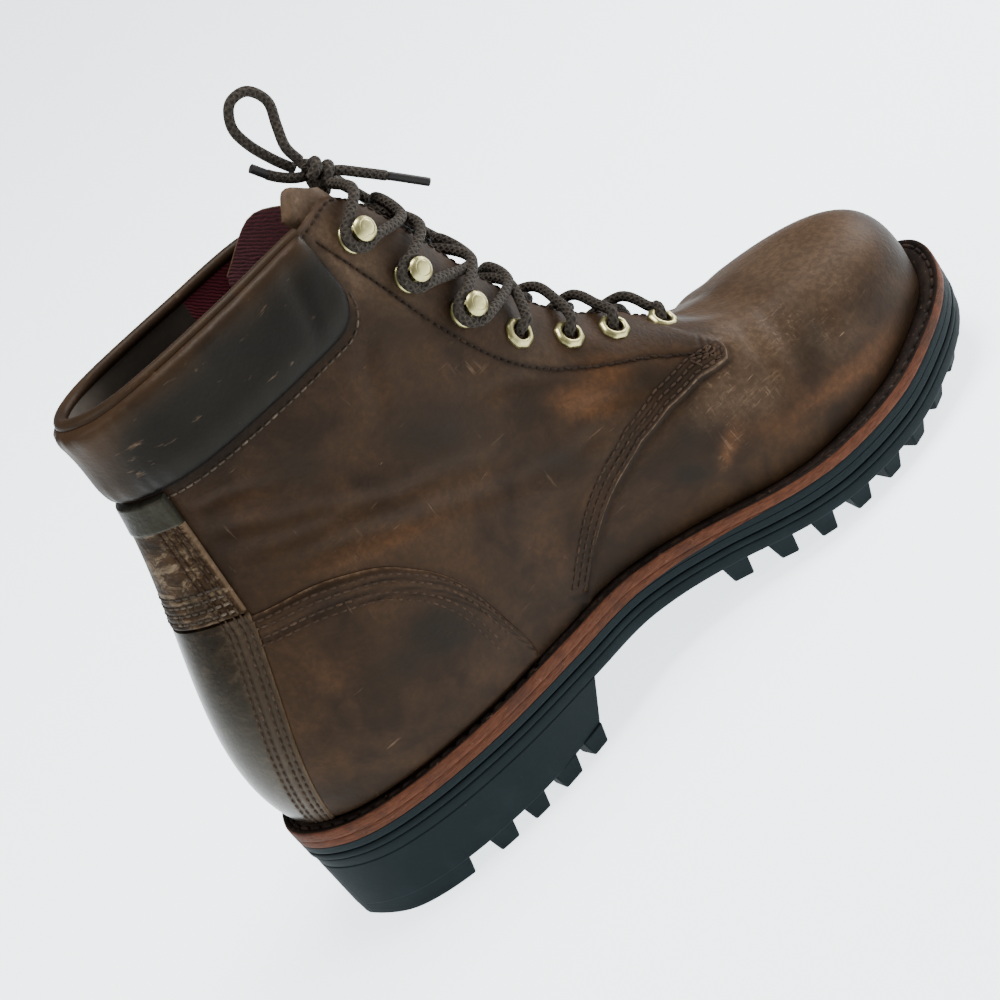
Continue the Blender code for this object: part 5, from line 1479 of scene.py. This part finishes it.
def build_fasteners():
    """Brass: eight-sided eyelets with dark holes, and domed hooks on double rings."""
    # The disc in each eyelet's hole is near-black: painted shade
    metal, hole = brass("dull_brass"), plain("eyelet_hole_shade", (0.006, 0.005, 0.004), 0.8)
    ring, plug, hook = turned(EYELET, 8), turned(EYELET_PLUG), turned(HOOK)
    eyelet_faces = [turned_faces(len(EYELET)), turned_faces(len(EYELET_PLUG), len(ring))]
    end = np.arange(BRASS_STEPS)[None]
    hook_faces = [turned_faces(len(HOOK))[:-BRASS_STEPS], end, len(hook) - 1 - end]
    for level, (u, v) in enumerate(fastener_places()):
        for side, section in (("medial", u), ("lateral", SECTION_COUNT - u)):
            if level < EYELET_COUNT:
                node, faces = f"eyelet_{side}_{EYELET_COUNT - level}", eyelet_faces
                points = np.concatenate((ring, plug))
                kinds = np.repeat((0, 1), [len(block) for block in faces])
            else:
                node, faces, kinds = f"hook_{side}_{len(FASTENERS) - level}", hook_faces, None
                points = hook.copy()
                lean = HOOK_LEAN * np.maximum(points[:, 2] - HOOK_FOOT, 0)
                points[:, 0] += lean * (-1 if side == "lateral" else 1)
            lift = 0.15 + float(relief(section, v))
            points = stand_on_upper(points, section, v, lift, EYELET_TILT.get(level, 0.0))
            new_piece(node + "_brass", points, faces, [metal, hole], (node,), kinds=kinds, sharp=34.0)


def tube(path, radius):
    """Points, faces and UV of a round cord along a path: circles carried along it without twisting."""
    path = np.asarray(path, float)
    tangents = unit(np.gradient(path, axis=0))
    side = np.cross(tangents[0], (0.3, 0.2, 0.93))
    frames = []
    for tangent in tangents:
        side = unit(side - side @ tangent * tangent)
        frames.append(side)
    frames = np.array(frames)
    other = np.cross(tangents, frames)
    turn = np.linspace(0, 2 * np.pi, CORD_SIDES + 1)
    ring = np.cos(turn)[None, :, None] * frames[:, None] + np.sin(turn)[None, :, None] * other[:, None]
    points = path[:, None] + radius * ring
    uv = np.stack(np.broadcast_arrays(turn[None] / (2 * np.pi), run_lengths(path)[:, None]), -1)
    first = np.arange(CORD_SIDES)[None]
    caps = np.concatenate((first[:, ::-1], first + (len(path) - 1) * (CORD_SIDES + 1)))
    return points.reshape(-1, 3), grid_quads(len(path), CORD_SIDES + 1), caps, uv.reshape(-1, 2)


def join_tubes(name, tubes, materials, node, kinds=None):
    """One mesh of several cords of the lace, the seam along each closed by merging doubled points."""
    points, quads, caps = stacked(tubes)
    numbers = [np.repeat(kinds or [0] * len(tubes), [len(cord[k]) for cord in tubes]) for k in (1, 2)]
    piece = new_piece(name, points, [quads, caps], materials, (node,),
                      uv=np.concatenate([cord[3] for cord in tubes]), kinds=np.concatenate(numbers), sharp=60.0)
    close_seam(piece)
    return piece


def throat_u_beside(place):
    """Medial section whose top line is nearest to a place."""
    u = np.linspace(0.5, 7.5, 281)
    return float(u[np.linalg.norm(blend(TOP, u) - np.array(place), axis=1).argmin()])


def build_lacing():
    """Lace across the throat: from under one edge over the tongue into the next eyelet or round the next hook."""
    radius = sizes().lace_diameter / MM / 2
    places = fastener_places()
    beside_u = [throat_u_beside(place) for place in FASTENERS]

    def over_edge(u, lateral, lift):
        return outside(on_side(u, lateral), 1.0, lift)

    def under_edge(level, lateral):
        u = beside_u[level] - 0.05
        section = on_side(u, lateral)
        edge = last(section, 1.0)
        toward = unit(throat_middle(u, 0.0) - edge)
        hidden = last(section, 0.965) - last_normal(section, 0.965)
        return [edge + 2.4 * toward + 0.8 * last_normal(section, 1.0), hidden]

    def fastener_frame(level, lateral):
        u, v = places[level]
        section = on_side(u, lateral)
        centre, normal = outside(section, v, 0.0), last_normal(section, v)
        out = over_edge(beside_u[level], lateral, 0.0) - centre
        return centre, normal, unit(out - out @ normal * normal)

    def out_of_eyelet(level, lateral):
        centre, normal, out = fastener_frame(level, lateral)
        return [centre + 0.7 * out - 2.6 * normal, centre + 0.9 * out + 0.4 * normal,
                centre + 2.6 * out + (radius + 1.2) * normal, centre + 5.4 * out + (radius + 1.9) * normal,
                over_edge(beside_u[level] + 0.12, lateral, radius + 0.9)]

    def round_hook(level, lateral):
        centre, normal, out = fastener_frame(level, lateral)
        along = np.cross(normal, out) * (-1 if lateral else 1)
        reach, height = 2.0 + radius + 0.4, 3.6
        angles = np.radians((-76, -122, -166, 156, 116, 70, 26))
        slack = (1.7, 1.1, 1.0, 1.0, 1.0, 1.1, 1.7)
        return [centre + (height + 0.8 * (wide - 1)) * normal + reach * wide * (math.cos(a) * out + math.sin(a) * along)
                for a, wide in zip(angles, slack)]

    def crossing(low, high, over):
        return [throat_middle(0.5 * (beside_u[low] + beside_u[high]), LACE_OVER if over else LACE_UNDER)]
    tubes = []
    knot = np.array(KNOT_PLACE)
    for half in (False, True):
        for level in range(EYELET_COUNT - 1):
            lateral = (level % 2 == 1) != half
            route = out_of_eyelet(level, lateral) + crossing(level, level + 1, half != (level % 2 == 0))
            route += under_edge(level + 1, not lateral)
            tubes.append(tube(smooth_route(route, 1.0), radius))
        level = EYELET_COUNT - 1
        lateral = (level % 2 == 1) != half
        route = out_of_eyelet(level, lateral)
        for next_level in range(EYELET_COUNT, len(FASTENERS)):
            route += crossing(next_level - 1, next_level, half != (next_level % 2 == 0))
            lateral = not lateral
            route += [over_edge(beside_u[next_level] - 0.34, lateral, radius + 1.2)]
            route += round_hook(next_level, lateral)
            route += [over_edge(beside_u[next_level] + 0.04, lateral, radius + 2.2)]
        side = 1 if lateral else -1
        route += [knot + (-0.4, 5.5 * side, -3.4), knot + (0, 2.0 * side, -1.0)]
        tubes.append(tube(smooth_route(route, 1.0), radius))
    join_tubes("lace_laid", tubes, [braid("lace_braid")], "lace_crossings")


def build_bow():
    """Knot, two loops and two ends of the lace; the ends finish in dark tips."""
    radius = sizes().lace_diameter / MM / 2
    material, tip = braid("bow_braid"), plain("lace_tip", (0.012, 0.01, 0.009), 0.35)
    centre, size = np.array(KNOT_PLACE, float), np.array(KNOT_SIZE, float) - radius + 0.3
    t = np.linspace(0, 2 * np.pi, 121)
    wrap = np.stack((0.62 * np.cos(3 * t) * (1 + 0.3 * np.cos(2 * t)), np.sin(t) + 0.55 * np.sin(2 * t),
                     np.cos(t) - 0.55 * np.cos(2 * t)), 1) * 0.62
    knot = [tube(centre + wrap * size, radius * 0.9)]
    t = np.linspace(0, 3.2 * np.pi, 90)[:, None]
    lean, front, cross = np.array((-0.6, 0.0, 0.8)), np.array((0.8, 0.0, 0.6)), np.array((0.0, 1.0, 0.0))
    band = centre + 3.9 * np.cos(t) * cross + 3.7 * np.sin(t) * front + lean * (t / np.pi - 1.6) * 2.4
    knot.append(tube(band, radius * 1.05))
    stub = smooth_route(END_SHORT, 1.0)
    split = len(stub) - SHORT_TIP
    knot += [tube(stub[:split + 1], radius * 0.95), tube(stub[split:], radius * 0.86)]
    tied = join_tubes("lace_knot_tied", knot, [material, tip], "lace_knot", (0, 0, 0, 1))
    for name, node, route, on_it in (("lace_loop_up", "lace_loop_short", LOOP_SHORT, [tied]),
                                     ("lace_loop_down", "lace_loop_long", LOOP_LONG, [])):
        path = smooth_route(route, 1.0)
        loop = join_tubes(name, [tube(path, radius * 0.96)], [material], node)
    path = smooth_route(END_LONG, 1.0)
    split = len(path) - LONG_TIP
    end = join_tubes("lace_end_free", [tube(path[:split + 1], radius * 0.96), tube(path[split:], radius * 0.8)],
                     [material, tip], "lace_end_long", (0, 1))


def build_stage():
    """Pale floor, soft lights and a camera at the photograph's angle to the boot."""
    p = Paint("floor_paint")
    cloud = p.noise(3.0, 2.0)
    c = colours()
    p.finish(p.mix(cloud, 0.99 * c.floor, c.floor), 0.75, None)
    p.feed(p.shader.inputs["Emission Color"], FLOOR_GLOW_COLOUR)
    p.shader.inputs["Emission Strength"].default_value = FLOOR_GLOW
    mesh = bpy.data.meshes.new("floor")
    half = FLOOR_HALF
    mesh.from_pydata([(-half, -half, 0), (half, -half, 0), (half, half, 0), (-half, half, 0)], [], [(0, 1, 2, 3)])
    mesh.materials.append(p.material)
    floor = bpy.data.objects.new("floor", mesh)
    bpy.context.scene.collection.objects.link(floor)
    place, aim = Vector(metres(CAMERA_PLACE)), Vector(metres(CAMERA_AIM))
    lens = bpy.data.cameras.new("camera")
    lens.lens = CAMERA_LENS
    camera = bpy.data.objects.new("camera", lens)
    camera.location = place
    look = aim - place
    turn = look.to_track_quat("-Z", "Y") @ Quaternion((0.0, 0.0, 1.0), math.radians(-CAMERA_ROLL))
    camera.rotation_mode = "QUATERNION"
    camera.rotation_quaternion = turn
    bpy.context.scene.collection.objects.link(camera)
    bpy.context.scene.camera = camera
    right, up, back = (turn @ Vector(axis) for axis in ((1, 0, 0), (0, 1, 0), (0, 0, 1)))
    for name, across, height, depth, power, width in LIGHTS:
        light = bpy.data.lights.new(name, "AREA")
        light.energy = power
        light.size = width
        lamp = bpy.data.objects.new(name, light)
        lamp.location = aim + across * right + height * up + depth * back
        lamp.location.z = max(lamp.location.z, LOWEST_LIGHT)
        lamp.rotation_mode = "QUATERNION"
        lamp.rotation_quaternion = (aim - lamp.location).to_track_quat("-Z", "Y")
        bpy.context.scene.collection.objects.link(lamp)
    world = bpy.data.worlds.new("studio")
    world.use_nodes = True
    glow = world.node_tree.nodes["Background"].inputs
    glow["Color"].default_value = STUDIO_COLOUR
    glow["Strength"].default_value = STUDIO_STRENGTH
    bpy.context.scene.world = world


def operator(key, label, words, builders):
    """An operator that runs the builders of one piece or group of like pieces."""
    def execute(self, context):
        for build in builders:
            build()
        return {"FINISHED"}
    return type("BOOT_OT_" + key, (bpy.types.Operator,),
                {"__doc__": words, "bl_idname": "boot." + key, "bl_label": label, "execute": execute})


OPERATORS = (
    operator("stage", "Stage", "Floor, lights and camera", (build_stage,)),
    operator("bow", "Bow", "Knot, loops and ends of the lace", (build_bow,)),
    operator("lacing", "Lacing", "Lace across the throat", (build_lacing,)),
    operator("upper", "Upper", "Hollow leather upper", (build_upper,)),
    operator("heel_pieces", "Heel pieces", "Counters and the strip up the heel", (build_counters, build_backstay)),
    operator("collar_pad", "Collar pad", "Padded band round the collar", (build_pad,)),
    operator("tongue", "Tongue", "Tongue under the throat", (build_tongue,)),
    operator("sole", "Sole", "Welt, midsole, outsole, tread and insole", (build_sole, build_tread)),
    operator("stitching", "Stitching", "Stitches of all seams", (build_stitching,)),
    operator("fasteners", "Fasteners", "Eyelets and hooks", (build_fasteners,)),
)


class BOOT_PT_panel(bpy.types.Panel):
    """Lists the boot's sizes, colours and builders."""
    bl_idname = "BOOT_PT_panel"
    bl_label = "Work boot"
    bl_space_type = "VIEW_3D"
    bl_region_type = "UI"
    bl_category = "Boot"

    def draw(self, context):
        for kind in OPERATORS:
            self.layout.operator(kind.bl_idname)
        for group in (context.scene.boot_sizes, context.scene.boot_colours):
            for key in type(group).__annotations__:
                self.layout.prop(group, key)


CLASSES = (BootSizes, BootColours, *OPERATORS, BOOT_PT_panel)


def register():
    """Add the classes and the scene's settings."""
    for kind in CLASSES:
        bpy.utils.register_class(kind)
    bpy.types.Scene.boot_sizes = bpy.props.PointerProperty(type=BootSizes)
    bpy.types.Scene.boot_colours = bpy.props.PointerProperty(type=BootColours)


def unregister():
    """Take the settings and the classes away again."""
    del bpy.types.Scene.boot_colours
    del bpy.types.Scene.boot_sizes
    for kind in reversed(CLASSES):
        bpy.utils.unregister_class(kind)


def main():
    """Build the boot's looks and write both boxes."""
    register()
    for kind in OPERATORS:
        getattr(bpy.ops.boot, kind.bl_idname.split(".")[1])()


if __name__ == "__main__":
    main()
